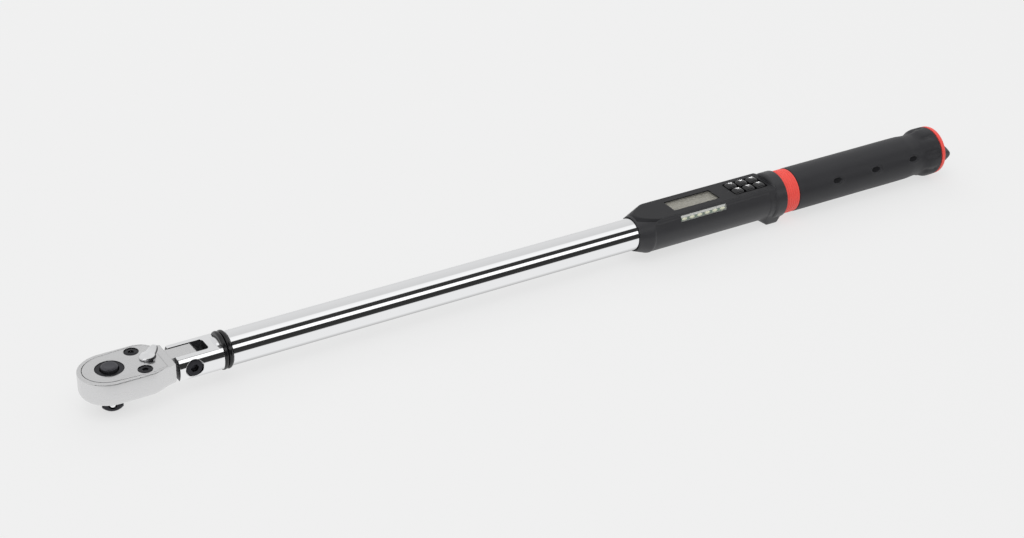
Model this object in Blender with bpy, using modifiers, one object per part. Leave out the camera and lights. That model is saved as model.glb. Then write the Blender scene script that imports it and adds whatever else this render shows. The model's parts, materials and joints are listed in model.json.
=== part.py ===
"""Electronic torque wrench with a flex ratchet head, 1/2 in square drive.

Frame: +X runs along the tool from the drive to the handle, +Z up, origin at
the centre of the square drive's tip face. "Near" is -Y and "far" is +Y.
Every piece is drawn in millimetres from the tool axis (the tube's centre line)
and hangs from the empty "tool_axis", which sits AXIS_Z above the drive tip.
"""
import math

import bmesh
import bpy
from mathutils import Matrix, Vector

MM = 0.001

# ---- driving dimensions, millimetres and degrees ------------------------------
AXIS_Z = 18.0                  # tool axis above the drive's tip face
DRIVE_SQ, DRIVE_CORNER = 12.7, 1.0  # square drive across flats, and its corner radius
DRIVE_TURN = -18.0             # how far the drive has been turned at rest
BALL_Z = -13.0                 # detent ball
HEAD_NOSE = 19.3               # nose of the head in front of the drive axis
HEAD_HALF, NECK_HALF = 18.0, 12.2  # half widths before and after the taper
TAPER_X, TAPER_L = 20.0, 18.0
HEAD_TOP, HEAD_BOTTOM = 9.0, -8.3
SHOULDER_X = 36.5              # end of the head's shoulder
COVER_SCREW_X, COVER_SCREW_Y = 18, 11.1
TEETH = 60
GEAR_TIP, GEAR_ROOT = 12.6, 11.9
PAWL_X, PAWL_SWING = 16.0, 6.0  # pawl pivot, and its swing each way
PAWL_HOLLOW = 5.5              # hollow in the pawl's tail, about the lever axis
LEVER_X, LEVER_TURN = 24.0, 40.0
LEVER_BORE_Z = 0.8
PIVOT_X = 48.7                 # flex pivot
TANG_R, TANG_HALF, TANG_TOP = 8.2, 5.45, 7.2
WASHER_T = 0.6
YOKE_R, YOKE_FLAT = 12.0, 7.4
YOKE_X0, YOKE_X1 = 39.0, 68.0
SLOT_HALF, SLOT_END, SLOT_CORNER = 5.75, 61.0, 2
TUBE_R, TUBE_BORE = 11.0, 9.5
TUBE_X0, TUBE_X1 = 74.3, 624.0
BEAM_PIN_X = 376
GAUGE_X, GAUGE_HALF = (133, 141), 2.5
BODY_X0, BODY_X1 = 369.3, 489.7  # electronics housing
BODY_R, COLLAR_R = 15.3, 16.5
DECK_Z, DECK_HALF, DECK_CHAMFER = 13.0, 11.9, 0.4
SCREW_X = (382.0, 462.0)       # housing screws, driven from below
SCREW_SEAT = -13.6
LCD_X0, LCD_X1, LCD_HALF = 400.4, 436.8, 6.1
KEY_X, KEY_Y = (454.5, 463.5, 472.5), 4.2
KEY_L, KEY_W, KEY_TOP = 8.2, 7.6, 14.6
LED_X, LED_PITCH, LED_COUNT = 405.5, 7.1, 5
WEIGHT_X = 486.0
RING_X0, RING_X1, RING_R = 490.0, 501.0, 15.3
GROOVE_PITCH, GROOVE_DEPTH, GROOVE_HALF = 3.65, 0.35, 0.5
GRIP_X0, GRIP_X1, GRIP_R, FLARE_R = 501.3, 629.0, 15.5, 17.6
SLEEVE_BORE = 11.35            # bore of the housing, front trim ring and grip
CELL_R, CELL_L = 7.15, 49.3
CAP_X0, CAP_X1 = 629.3, 641.2

CENTRE = (0, 0)
SIDES = (("near", -1), ("far", 1))
COVER_SCREWS = ((COVER_SCREW_X, COVER_SCREW_Y), (COVER_SCREW_X, -COVER_SCREW_Y))
HOUSING_SCREWS = [(x, 0) for x in SCREW_X]

# ---- looks; each part gets its own material made from one -----------------------
SATIN = dict(rgb=(0.72, 0.72, 0.73), roughness=0.3, metallic=1.0)
POLISHED = dict(rgb=(0.83, 0.84, 0.85), roughness=0.06, metallic=1.0)
BLACK_STEEL = dict(rgb=(0.03, 0.03, 0.035), roughness=0.35, metallic=1.0)
STEEL = dict(rgb=(0.42, 0.42, 0.44), roughness=0.35, metallic=1.0)
SPRING = dict(rgb=(0.5, 0.5, 0.52), roughness=0.25, metallic=1.0)
BRASS = dict(rgb=(0.7, 0.5, 0.2), roughness=0.3, metallic=1.0)
PLASTIC = dict(rgb=(0.035, 0.035, 0.04), roughness=0.5)
GLOSS = dict(rgb=(0.012, 0.012, 0.014), roughness=0.12)
RUBBER = dict(rgb=(0.03, 0.03, 0.033), roughness=0.7)
RED = dict(rgb=(0.72, 0.03, 0.025), roughness=0.4)
BOARD = dict(rgb=(0.03, 0.2, 0.08), roughness=0.5)
LCD_GLASS = dict(rgb=(0.5, 0.5, 0.48), roughness=0.1, alpha=0.35)
LCD_FACE = dict(rgb=(0.31, 0.3, 0.26), roughness=0.4)
LIGHT_GLASS = dict(rgb=(0.8, 0.82, 0.7), roughness=0.15, alpha=0.5)
LED = dict(rgb=(0.8, 0.8, 0.6), roughness=0.4)
CELL = dict(rgb=(0.1, 0.1, 0.12), roughness=0.3)


# ---- scene and joints -----------------------------------------------------------
for old in list(bpy.data.objects):
    bpy.data.objects.remove(old, do_unlink=True)

PARTS = bpy.data.collections.new("torque_wrench")
HELPERS = bpy.data.collections.new("cutters")
for collection in (PARTS, HELPERS):
    bpy.context.scene.collection.children.link(collection)


def empty(name, x=0.0, z=0.0, parent=None):
    marker = bpy.data.objects.new(name, None)
    marker.empty_display_size = 0.01
    marker.location = Vector((x, 0.0, z)) * MM
    marker.parent = parent
    PARTS.objects.link(marker)
    return marker


AXIS = empty("tool_axis", z=AXIS_Z)
FLEX = empty("flex_axis", PIVOT_X, parent=AXIS)
DRIVE = empty("drive_axis", parent=AXIS)
PAWL = empty("pawl_axis", PAWL_X, parent=AXIS)
LEVER = empty("lever_axis", LEVER_X, parent=AXIS)
WEIGHT = empty("vibration_axis", WEIGHT_X, parent=AXIS)
CAP = empty("cap_axis", CAP_X0, parent=AXIS)


def material(name, rgb, roughness, metallic=0.0, alpha=1.0):
    made = bpy.data.materials.new(name)
    made.use_nodes = True
    inputs = made.node_tree.nodes["Principled BSDF"].inputs
    inputs["Base Color"].default_value = (*rgb, 1.0)
    inputs["Roughness"].default_value = roughness
    inputs["Metallic"].default_value = metallic
    inputs["Alpha"].default_value = alpha
    made.diffuse_color = (*rgb, 1.0)
    return made


# ---- objects and meshes ---------------------------------------------------------
def place(obj, target):
    for held in obj.users_collection:
        held.objects.unlink(obj)
    target.objects.link(obj)
    obj.parent = AXIS


def piece(obj, name, look, rides=AXIS):
    """Makes obj a part: its name, its own material, and the joint it hangs from."""
    place(obj, PARTS)
    obj.name = name
    obj.data.name = name
    obj.data.materials.clear()
    obj.data.materials.append(material(name, **look))
    obj.data.shade_smooth()
    obj.data.set_sharp_from_angle(angle=math.radians(40.0))
    if rides is not AXIS:
        obj.parent = rides
        obj.location = -rides.location


def linked(name, data):
    obj = bpy.data.objects.new(name, data)
    bpy.context.scene.collection.objects.link(obj)
    return obj


def outward(form):
    bmesh.ops.recalc_face_normals(form, faces=form.faces)
    if form.calc_volume(signed=True) < 0:
        bmesh.ops.reverse_faces(form, faces=form.faces)


def from_bmesh(form):
    mesh = bpy.data.meshes.new("shape")
    form.to_mesh(mesh)
    form.free()
    return linked("shape", mesh)


def settle(obj, flatten=True):
    """Turns a curve or a modified object into a plain welded mesh in the tool frame."""
    bpy.context.view_layer.update()
    seen = obj.evaluated_get(bpy.context.evaluated_depsgraph_get())
    mesh = bpy.data.meshes.new_from_object(seen)
    mesh.transform(obj.matrix_world)
    bpy.data.objects.remove(obj, do_unlink=True)
    form = bmesh.new()
    form.from_mesh(mesh)
    bpy.data.meshes.remove(mesh)
    bmesh.ops.remove_doubles(form, verts=form.verts, dist=1e-6)
    if flatten:
        bmesh.ops.dissolve_limit(form, angle_limit=0.001, verts=form.verts, edges=form.edges)
    outward(form)
    return from_bmesh(form)


# ---- solids -----------------------------------------------------------------------
# Each matrix lays a shape drawn about Z along another axis; "y" comes out along -Y.
TURN = {
    "x": Matrix(((0, 0, 1, 0), (1, 0, 0, 0), (0, 1, 0, 0), (0, 0, 0, 1))),
    "y": Matrix(((1, 0, 0, 0), (0, 0, -1, 0), (0, 1, 0, 0), (0, 0, 0, 1))),
    "z": Matrix.Identity(4),
}
FLIP = Matrix.Rotation(math.pi, 4, "X")


def point_on(axis, along, at=CENTRE):
    """A point given along an axis; at holds the other two coordinates in X, Y, Z order."""
    return {"x": (along, *at), "y": (at[0], along, at[1]), "z": (*at, along)}[axis]


def box(x, y, z):
    form = bmesh.new()
    size = Vector((x[1] - x[0], y[1] - y[0], z[1] - z[0])) * MM
    middle = Vector((x[1] + x[0], y[1] + y[0], z[1] + z[0])) * MM / 2
    bmesh.ops.create_cube(form, size=1.0,
                          matrix=Matrix.Translation(middle) @ Matrix.Diagonal((*size, 1.0)))
    return from_bmesh(form)


def rod(axis, at, radius, start, end, sides=32):
    """A cylinder from start to end along an axis."""
    form = bmesh.new()
    bmesh.ops.create_cone(form, cap_ends=True, segments=sides, radius1=radius * MM,
                          radius2=radius * MM, depth=(end - start) * MM)
    turn = TURN[axis] @ Matrix.Rotation(math.pi / sides, 4, "Z")
    if axis == "y":
        turn = turn @ FLIP
    middle = Vector(point_on(axis, (end + start) / 2, at)) * MM
    form.transform(Matrix.Translation(middle) @ turn)
    outward(form)
    return from_bmesh(form)


def rods(axis, places, *size):
    return [rod(axis, at, *size) for at in places]


def add_spline(curve, points, closed=False):
    spline = curve.splines.new("POLY")
    spline.points.add(len(points) - 1)
    for slot, (x, y, z) in zip(spline.points, points):
        slot.co = (x * MM, y * MM, z * MM, 1.0)
    spline.use_cyclic_u = closed


def flat(axis, start, end, *outlines):
    """A flat outline with any holes, extruded from start to end along an axis.

    Outlines are (x, y) for z, (x, z) for y and (y, z) for x.
    """
    curve = bpy.data.curves.new("outline", "CURVE")
    curve.dimensions = "2D"
    curve.fill_mode = "BOTH"
    curve.extrude = (end - start) / 2 * MM
    for outline in outlines:
        add_spline(curve, [(*point, 0.0) for point in outline], closed=True)
    obj = linked("outline", curve)
    middle = (end + start) / 2 * MM
    obj.matrix_world = Matrix.Translation(point_on(axis, middle)) @ TURN[axis]
    return settle(obj)


def turned(axis, profile, sides=32, at=CENTRE, flatten=True):
    """A profile of (position along the axis, radius) turned about the axis.

    It runs down its outer side, from the high end to the low end, and closes
    on the axis or, for a ring, on itself.
    """
    mesh = bpy.data.meshes.new("profile")
    edges = [(i, i + 1) for i in range(len(profile) - 1)]
    if min(radius for _, radius in profile) > 1e-6:
        edges.append((len(profile) - 1, 0))
    mesh.from_pydata([(radius * MM, 0.0, height * MM) for height, radius in profile], edges, [])
    obj = linked("profile", mesh)
    screw = obj.modifiers.new("turn", "SCREW")
    screw.axis = "Z"
    screw.steps = screw.render_steps = sides
    screw.use_merge_vertices = True
    screw.merge_threshold = 1e-5
    turn = TURN[axis] @ FLIP if axis == "y" else TURN[axis]
    obj.matrix_world = Matrix.Translation(Vector(point_on(axis, 0, at)) * MM) @ turn
    return settle(obj, flatten=flatten)


def wire(points, radius, facets):
    curve = bpy.data.curves.new("wire", "CURVE")
    curve.dimensions = "3D"
    curve.bevel_depth = radius * MM
    curve.bevel_resolution = facets
    curve.use_fill_caps = True
    add_spline(curve, points)
    return linked("wire", curve)


def coil(axis, at, radius, start, end, turns, wire_r, per_turn=10, end_radius=None):
    """A round-wire spring along x or z, tapering to end_radius if one is given."""
    steps = int(turns * per_turn)
    change = 0 if end_radius is None else end_radius - radius
    points = []
    for i in range(steps + 1):
        part = i / steps
        angle = 2 * math.pi * turns * part
        reach = radius + change * part
        points.append((reach * math.cos(angle), reach * math.sin(angle),
                       start + (end - start) * part))
    obj = wire(points, wire_r, 1)
    obj.matrix_world = Matrix.Translation(Vector(point_on(axis, 0, at)) * MM) @ TURN[axis]
    return settle(obj, flatten=False)


def hull(points):
    form = bmesh.new()
    for point in points:
        form.verts.new(Vector(point) * MM)
    made = bmesh.ops.convex_hull(form, input=form.verts)
    loose = [item for item in made["geom_interior"] if isinstance(item, bmesh.types.BMVert)]
    bmesh.ops.delete(form, geom=loose, context="VERTS")
    outward(form)
    return from_bmesh(form)


# ---- changes to a solid -----------------------------------------------------------
def combine(obj, how, others):
    for other in others:
        modifier = obj.modifiers.new(how.lower(), "BOOLEAN")
        modifier.operation = how
        modifier.solver = "EXACT"
        place(other, HELPERS)
        other.hide_render = True
        other.display_type = "WIRE"
        modifier.object = other


def cut(obj, *others):
    combine(obj, "DIFFERENCE", others)


def join(obj, *others):
    combine(obj, "UNION", others)


def trim(obj, *others):
    combine(obj, "INTERSECT", others)


def soft(obj, width, segments):
    modifier = obj.modifiers.new("bevel", "BEVEL")
    modifier.width = width * MM
    modifier.segments = segments
    modifier.limit_method = "ANGLE"
    modifier.angle_limit = math.radians(40.0)
    return obj


def rim_bevel(obj, z, width, segments):
    """Rounds the edges that lie in the plane at height z."""
    form = bmesh.new()
    form.from_mesh(obj.data)
    rim = [edge for edge in form.edges
           if all(abs(vert.co.z - z * MM) < 1e-6 for vert in edge.verts)]
    bmesh.ops.bevel(form, geom=rim, offset=width * MM, segments=segments, profile=0.5,
                    affect="EDGES", clamp_overlap=False)
    bmesh.ops.remove_doubles(form, verts=form.verts, dist=1e-6)
    outward(form)
    form.to_mesh(obj.data)
    form.free()


def spun(obj, degrees, x=0):
    """Turns a shape's mesh about the vertical line through (x, 0)."""
    line = Matrix.Translation((x * MM, 0, 0))
    obj.data.transform(line @ Matrix.Rotation(math.radians(degrees), 4, "Z") @ line.inverted())
    return obj


# ---- outlines -----------------------------------------------------------------------
def arc(x, y, radius, first, last, steps):
    angles = [math.radians(first + (last - first) * i / steps) for i in range(steps + 1)]
    return [(x + radius * math.cos(angle), y + radius * math.sin(angle)) for angle in angles]


def circle(x, y, radius, sides):
    return arc(x, y, radius, 0, 360 - 360 / sides, sides - 1)


def mirrored(points):
    """Closes a +Y half section, given top to bottom, with its mirror image."""
    return points + [(-y, z) for y, z in reversed(points) if abs(y) > 1e-6]


# ---- ratchet head -------------------------------------------------------------------
# Side outlines (x, z) cut away behind the head, above and below the tang.
HEAD_SLOPE = [(25.6, 9.1), (32.0, 7.3), (50.0, 7.3), (50.0, 14.0), (25.6, 14.0)]
COVER_SLOPE = [(25.6, 9.1), (31.9, 7.33), (50.0, 7.3), (50.0, 14.0), (25.6, 14.0)]
HEAD_UNDERCUT = [(27.0, -8.45), (50.0, -14.0), (50.0, -7.2), (33.0, -7.2)]
# Plan outlines (x, y) of the pawl's pocket and the pocket between pawl and lever.
PAWL_POCKET = [(9, -9.1), (14.2, -9.1), (15.6, -8.0), (19.8, -8.0),
               (19.8, 8.0), (15.6, 8.0), (14.2, 9.1), (9, 9.1)]
LINK_POCKET = [(15, -5.6), (LEVER_X, -5.6), (LEVER_X, 5.6), (15, 5.6)]


def head_half(x):
    part = min(max((x - TAPER_X) / TAPER_L, 0.0), 1.0)
    return HEAD_HALF + (NECK_HALF - HEAD_HALF) * part * part * (3 - 2 * part)


def head_outline(inset, x_end, steps=7):
    """Plan outline: an elliptical nose, then sides that taper towards x_end."""
    nose = [((HEAD_NOSE - inset) * math.cos(math.radians(angle)),
             (HEAD_HALF - inset) * math.sin(math.radians(angle))) for angle in range(90, 271, 9)]
    stations = [TAPER_X + (x_end - TAPER_X) * i / steps for i in range(steps + 1)]
    near = [(x, -(head_half(x) - inset)) for x in stations]
    return nose + near + [(x, -y) for x, y in reversed(near)]


def head_body():
    body = flat("z", HEAD_BOTTOM, HEAD_TOP, head_outline(0.0, 46.0, 10))
    rim_bevel(body, HEAD_BOTTOM, 6.5, 3)
    rim_bevel(body, HEAD_TOP, 0.7, 1)
    cut(body, box((SHOULDER_X, 60), (-30, 30), (-20, 20)))
    cut(body, flat("y", -30, 30, HEAD_SLOPE))
    cut(body, flat("y", -30, 30, HEAD_UNDERCUT))
    tang_turn = math.degrees(math.asin(TANG_TOP / TANG_R))
    join(body, flat("y", -TANG_HALF, TANG_HALF,
                    [(33.0, -7.1)] + arc(PIVOT_X, 0, TANG_R, -tang_turn, tang_turn, 12)
                    + [(33.0, TANG_TOP)]))
    # Cover plate recess, gear pocket and the opening below it.
    cut(body, flat("z", 6.3, 12.0, head_outline(1.35, 31.7)))
    cut(body, rod("z", CENTRE, 13.2, -4.6, 7.0, 48))
    cut(body, rod("z", CENTRE, 9.4, -12.0, -4.0, 40))
    cut(body, flat("z", -4.4, 7.1, PAWL_POCKET))
    cut(body, flat("z", -4.2, 7.2, LINK_POCKET))
    # Bores for the lever, cover screws and pawl pin.
    cut(body, rod("z", (LEVER_X, 0), 4.3, -4.0, 7.3))
    cut(body, *rods("z", COVER_SCREWS, 1.95, -4.5, 7.4, 16))
    cut(body, rod("z", (PAWL_X, 0), 1.5, -7.0, -4.0, 16))
    # Pivot bore through the tang, with a washer seat on each side.
    cut(body, rod("y", (PIVOT_X, 0), 3.5, -9, 9))
    cut(body, rod("y", (PIVOT_X, 0), 6.7, 4.55, 9, 40), rod("y", (PIVOT_X, 0), 6.7, -9, -4.55, 40))
    piece(body, "head_body", SATIN, FLEX)


def cover_plate():
    plate = flat("z", 6.6, HEAD_TOP, head_outline(1.65, 31.3),
                 circle(0, 0, 8.8, 36), circle(LEVER_X, 0, 3.4, 24))
    cut(plate, *rods("z", COVER_SCREWS, 2.2, 6.0, 9.5, 16))
    cut(plate, *rods("z", COVER_SCREWS, 4.65, 7.6, 9.6))
    cut(plate, flat("y", -30, 30, COVER_SLOPE))
    piece(plate, "cover_plate", SATIN, FLEX)


def cover_screws():
    profile = [(8.75, 0), (8.75, 3.6), (8.5, 4.1), (8.1, 4.35), (7.9, 4.35), (7.9, 1.7),
               (-4.0, 1.7), (-4.0, 0)]
    for side, sign in SIDES:
        at = (COVER_SCREW_X, sign * COVER_SCREW_Y)
        screw = turned("z", profile, 16, at)
        cut(screw, rod("z", at, 2.1, 7.9, 10, 6))
        piece(screw, f"cover_screw_{side}", BLACK_STEEL, FLEX)


def drive_gear():
    teeth = []
    for i in range(TEETH):
        tip = 2 * math.pi * i / TEETH
        root = tip + math.pi / TEETH
        teeth += [(GEAR_TIP * math.cos(tip), GEAR_TIP * math.sin(tip)),
                  (GEAR_ROOT * math.cos(root), GEAR_ROOT * math.sin(root))]
    gear = flat("z", -4.3, 4.5, teeth)
    join(gear, rod("z", CENTRE, 8.5, 4.0, 8.6), rod("z", CENTRE, 9.0, -8.0, -4.0))

    # Square drive with rounded corners, its tip trimmed to a turned taper.
    corner = DRIVE_SQ / 2 - DRIVE_CORNER
    outline = []
    for x, y, first in ((corner, corner, 0), (-corner, corner, 90),
                        (-corner, -corner, 180), (corner, -corner, 270)):
        outline += arc(x, y, DRIVE_CORNER, first, first + 90, 3)
    square = spun(flat("z", -AXIS_Z, -8.35, outline), DRIVE_TURN)
    taper = [(-5, 0), (-5, 9.3), (-12.6, 9.3), (-13.8, 8.6), (-15.3, 7.7), (-16.7, 6.5),
             (-17.6, 5.5), (-AXIS_Z, 4.7), (-AXIS_Z - 2, 4.7), (-AXIS_Z - 2, 0)]
    trim(square, turned("z", taper))
    join(gear, rod("z", CENTRE, 6.1, -8.6, -7.5), square)

    # Stepped bore for the release button, and the ball's cross hole.
    cut(gear, rod("z", CENTRE, 5.5, 1.0, 12.0), rod("z", CENTRE, 2.25, -17.0, 2.0, 20))
    cut(gear, spun(rod("y", (0, BALL_Z), 2.6, -12.0, 0.0, 20), DRIVE_TURN))
    piece(gear, "drive_gear", BLACK_STEEL, DRIVE)


def drive_release():
    """Release button, its spring and the detent ball."""
    profile = [(11.1, 0), (11.05, 2.4), (10.85, 3.9), (10.4, 4.7), (9.6, 5.15), (7.2, 5.15),
               (7.2, 1.9), (-9.7, 1.9), (-10.0, 1.1), (-12.0, 1.1), (-12.3, 1.9),
               (-14.8, 1.9), (-14.8, 0)]
    piece(turned("z", profile, 20), "release_button", BLACK_STEEL, DRIVE)
    piece(coil("z", CENTRE, 3.6, 1.75, 6.45, 3.5, 0.4), "release_spring", SPRING, DRIVE)
    form = bmesh.new()
    bmesh.ops.create_uvsphere(form, u_segments=14, v_segments=8, radius=2.4 * MM,
                              matrix=Matrix.Translation(Vector((0, -4.55, BALL_Z)) * MM))
    piece(spun(from_bmesh(form), DRIVE_TURN), "detent_ball", POLISHED, DRIVE)


def rocked(points, degrees):
    """Turns outline points about the pawl pivot."""
    cos, sin = math.cos(math.radians(degrees)), math.sin(math.radians(degrees))
    return [(PAWL_X + cos * (x - PAWL_X) - sin * y, sin * (x - PAWL_X) + cos * y)
            for x, y in points]


def pawl():
    """Drawn square, then set over so that its near pad is in mesh with the gear."""
    pad = []
    for i in range(5):
        radius = GEAR_TIP + 0.25 if i % 2 == 0 else GEAR_ROOT + 0.3
        angle = math.radians(-24 - 3 * i)
        pad.append((radius * math.cos(angle), radius * math.sin(angle)))
    pad = rocked(pad + [(11.0, -7.8)], PAWL_SWING)
    near = [(13.4, 0.0), (13.25, -2.6)] + pad + [(14.9, -7.4), (16.8, -6.4), (19.4, -3.5)]
    near += [(LEVER_X - math.sqrt(PAWL_HOLLOW ** 2 - y * y), -y) for y in (2.8, 1.5)]
    near.append((LEVER_X - PAWL_HOLLOW, 0.0))
    outline = near + [(x, -y) for x, y in reversed(near[1:-1])]
    piece(flat("z", -4.0, 4.0, rocked(outline, -PAWL_SWING), circle(PAWL_X, 0, 1.5, 16)),
          "pawl", STEEL, PAWL)
    piece(rod("z", (PAWL_X, 0), 1.2, -6.7, 6.1, 16), "pawl_pin", STEEL, FLEX)


def reversing_lever():
    profile = [(10.9, 0), (10.9, 4.5), (10.5, 5.0), (10.0, 5.1), (9.35, 5.1), (9.35, 3.05),
               (5.9, 3.05), (5.9, 3.6), (-3.5, 3.6), (-3.5, 0)]
    # Side outline of the thumb tab: x from the lever axis, z.
    tab_points = ((1.0, 9.5), (9.4, 9.5), (10.0, 10.2), (9.7, 11.9), (9.0, 12.5), (8.2, 12.4),
                  (5.0, 11.3), (1.0, 10.7))
    lever = turned("z", profile, at=(LEVER_X, 0))
    tab = flat("y", -3.0, 3.0, [(LEVER_X + x, z) for x, z in tab_points])
    join(lever, spun(soft(tab, 0.35, 1), LEVER_TURN, LEVER_X))
    bore = rod("x", (0, LEVER_BORE_Z), 1.45, LEVER_X - 5.0, LEVER_X + 2.6, 16)
    cut(lever, spun(bore, LEVER_TURN, LEVER_X))
    piece(lever, "reversing_lever", POLISHED, LEVER)


def lever_plunger():
    """Plunger and spring in the lever's cross bore."""
    profile = [(LEVER_X - 1.8, 0), (LEVER_X - 1.8, 1.2), (LEVER_X - 4.0, 1.2),
               (LEVER_X - 4.6, 0.95), (LEVER_X - 4.95, 0.5), (LEVER_X - 5.0, 0)]
    plunger = turned("x", profile, 16, (0, LEVER_BORE_Z))
    piece(spun(plunger, LEVER_TURN, LEVER_X), "lever_plunger", STEEL, LEVER)
    spring = coil("x", (0, LEVER_BORE_Z), 0.95, LEVER_X - 1.2, LEVER_X + 2.0, 3, 0.2, 8)
    piece(spun(spring, LEVER_TURN, LEVER_X), "lever_spring", SPRING, LEVER)


# ---- flex joint -----------------------------------------------------------------------
def yoke():
    turn = math.degrees(math.asin(YOKE_FLAT / YOKE_R))
    body = flat("x", YOKE_X0, YOKE_X1, arc(0, 0, YOKE_R, -turn, turn, 8)
                + arc(0, 0, YOKE_R, 180 - turn, 180 + turn, 8))
    join(body, rod("x", CENTRE, 9.2, 66.0, 98.0))
    # Slot for the tang, open at the front.
    x, y = SLOT_END - SLOT_CORNER, SLOT_HALF - SLOT_CORNER
    cut(body, flat("z", -12, 12, [(30, -SLOT_HALF), (x, -SLOT_HALF)]
                   + arc(x, -y, SLOT_CORNER, -90, 0, 3)
                   + arc(x, y, SLOT_CORNER, 0, 90, 3) + [(30, SLOT_HALF)]))
    # Pivot bore and the seats for the bolt head and nut.
    cut(body, rod("y", (PIVOT_X, 0), 3.4, -15, 15))
    cut(body, rod("y", (PIVOT_X, 0), 5.75, -15, -8.3), rod("y", (PIVOT_X, 0), 5.5, 8.3, 15))
    # Plunger bore, and the socket for the beam's front spigot.
    cut(body, rod("x", CENTRE, 3.4, 58.0, 73.4, 20), rod("x", CENTRE, 5.2, 76.6, 99.0, 24))
    piece(body, "yoke", POLISHED)


def pivot():
    """Pivot bolt with a hexagon socket, its nut and the washers beside the tang."""
    profile = [(10.9, 0), (10.9, 2.7), (10.5, 3.1), (-8.6, 3.1), (-8.6, 5.4), (-10.9, 5.4),
               (-11.3, 5.0), (-11.3, 0)]
    bolt = turned("y", profile, at=(PIVOT_X, 0))
    cut(bolt, rod("y", (PIVOT_X, 0), 2.7, -14, -9.3, 6))
    piece(bolt, "pivot_bolt", BLACK_STEEL)
    piece(flat("y", 8.6, 11.2, circle(PIVOT_X, 0, 5.1, 24), circle(PIVOT_X, 0, 3.4, 24)),
          "pivot_nut", BLACK_STEEL)
    for side, sign in SIDES:
        start, end = sorted((sign * TANG_HALF, sign * (TANG_HALF - WASHER_T)))
        piece(flat("y", start, end, circle(PIVOT_X, 0, 6.3, 30), circle(PIVOT_X, 0, 3.5, 24)),
              f"flex_washer_{side}", STEEL)


def flex_plunger():
    """Plunger that bears on the tang, and its spring."""
    profile = [(65.5, 0), (65.5, 3.1), (58.8, 3.1), (57.9, 2.5), (57.4, 1.4), (57.3, 0)]
    piece(turned("x", profile, 20), "flex_plunger", STEEL)
    piece(coil("x", CENTRE, 2.3, 66.3, 72.7, 4, 0.4, 8), "flex_spring", SPRING)


def neck_seals():
    for name, x in (("neck_seal_front", 68.3), ("neck_seal_rear", 71.3)):
        profile = [(x + 2.7, 9.5), (x + 2.7, 11.3), (x + 2.0, 12.2), (x + 0.7, 12.2),
                   (x, 11.3), (x, 9.5)]
        piece(turned("x", profile, 36), name, RUBBER)


# ---- tube and sensing beam --------------------------------------------------------------
def main_tube():
    profile = [(TUBE_X1, TUBE_BORE), (TUBE_X1, TUBE_R), (492.0, TUBE_R), (370.0, TUBE_R),
               (TUBE_X0 + 0.6, TUBE_R), (TUBE_X0, TUBE_R - 0.6), (TUBE_X0, TUBE_BORE),
               (370.5, TUBE_BORE), (491.0, TUBE_BORE)]
    tube = turned("x", profile, 36, flatten=False)
    # Opening under the deck, beam pin hole and housing screw holes.
    cut(tube, box((388, 486), (-14, 14), (3.0, 14)))
    cut(tube, rod("y", (BEAM_PIN_X, 0), 2.6, -14, 14, 16))
    cut(tube, *rods("z", HOUSING_SCREWS, 1.7, -14, -7, 12))
    piece(tube, "main_tube", POLISHED)


def torque_beam():
    beam = box((110.5, 370), (-6, 6), (-5.5, 5.5))
    # Thinned above and below where the gauges sit.
    cut(beam, box((122, 150), (-8, 8), (3.5, 8)), box((122, 150), (-8, 8), (-8, -3.5)))
    # Front disc, front spigot and rear disc.
    join(beam, rod("x", CENTRE, 9.1, 98.4, 112), rod("x", CENTRE, 4.9, 77.5, 99.5, 24),
         rod("x", CENTRE, 9.1, 369, 384))
    # Cable groove and pin hole.
    cut(beam, box((365, 390), (-1.5, 1.5), (5.3, 12)),
        rod("y", (BEAM_PIN_X, 0), 2.6, -14, 14, 16))
    piece(beam, "torque_beam", STEEL)
    piece(rod("y", (BEAM_PIN_X, 0), 2.35, -10.8, 10.8, 16), "beam_pin", STEEL)


def strain_gauges():
    for name, z in (("top", (3.7, 4.0)), ("bottom", (-4.0, -3.7))):
        piece(box(GAUGE_X, (-GAUGE_HALF, GAUGE_HALF), z), f"strain_gauge_{name}", BRASS)


def gauge_cable():
    # x, y, z along the cable
    route = [(141.6, 0, 4.45), (145, 0, 4.9), (147.5, 0, 6.1), (150, 0, 6.8),
             (200, 0, 7.0), (360, 0, 7.0), (387, 0, 7.0), (390.5, 0, 6.4)]
    piece(settle(wire(route, 0.6, 2), flatten=False), "gauge_cable", RUBBER)


# ---- electronics housing ------------------------------------------------------------------
# Far half sections (y, z), top to bottom, of the housing's outside and cavity.
OUTER = [(12.4, 11.2), (13.4, 9.0), (14.3, 6.0), (14.95, 3.2)] + arc(0, 0, BODY_R, 0, -90, 9)
INNER = [(10.3, 14.0), (10.6, 11.0), (11.4, 8.6), (12.2, 5.8),
         (12.8, 3.0)] + arc(0, 0, 13.1, 0, -90, 9)
# Turned profile (x, radius) that limits the housing and the deck.
ENVELOPE = [(BODY_X1, 0), (BODY_X1, 15.8), (486.0, 17.3), (482.0, 18.8), (480.2, 20.5),
            (392.0, 20.5), (386.0, 18.4), (382.0, 17.0), (378.0, 15.7), (374.0, 14.4),
            (371.0, 13.1), (BODY_X0, 11.95), (BODY_X0, 0)]
COLLAR = [(BODY_X1 - 0.1, 12.0), (BODY_X1 - 0.1, 16.1), (489.2, COLLAR_R), (482.2, COLLAR_R),
          (481.0, 16.1), (480.3, 14.9), (480.3, 12.0)]
# Foot sections: x, then half width and z of the lower edge, then of the upper edge.
FOOT = [
    (472.5, (7, -13.9), (7, -10)),
    (479.5, (9, -18), (13.2, -6)),
    (486.8, (9.2, -18), (14.2, -6)),
    (489.5, (9.0, -15.9), (14.2, -6)),
]


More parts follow.
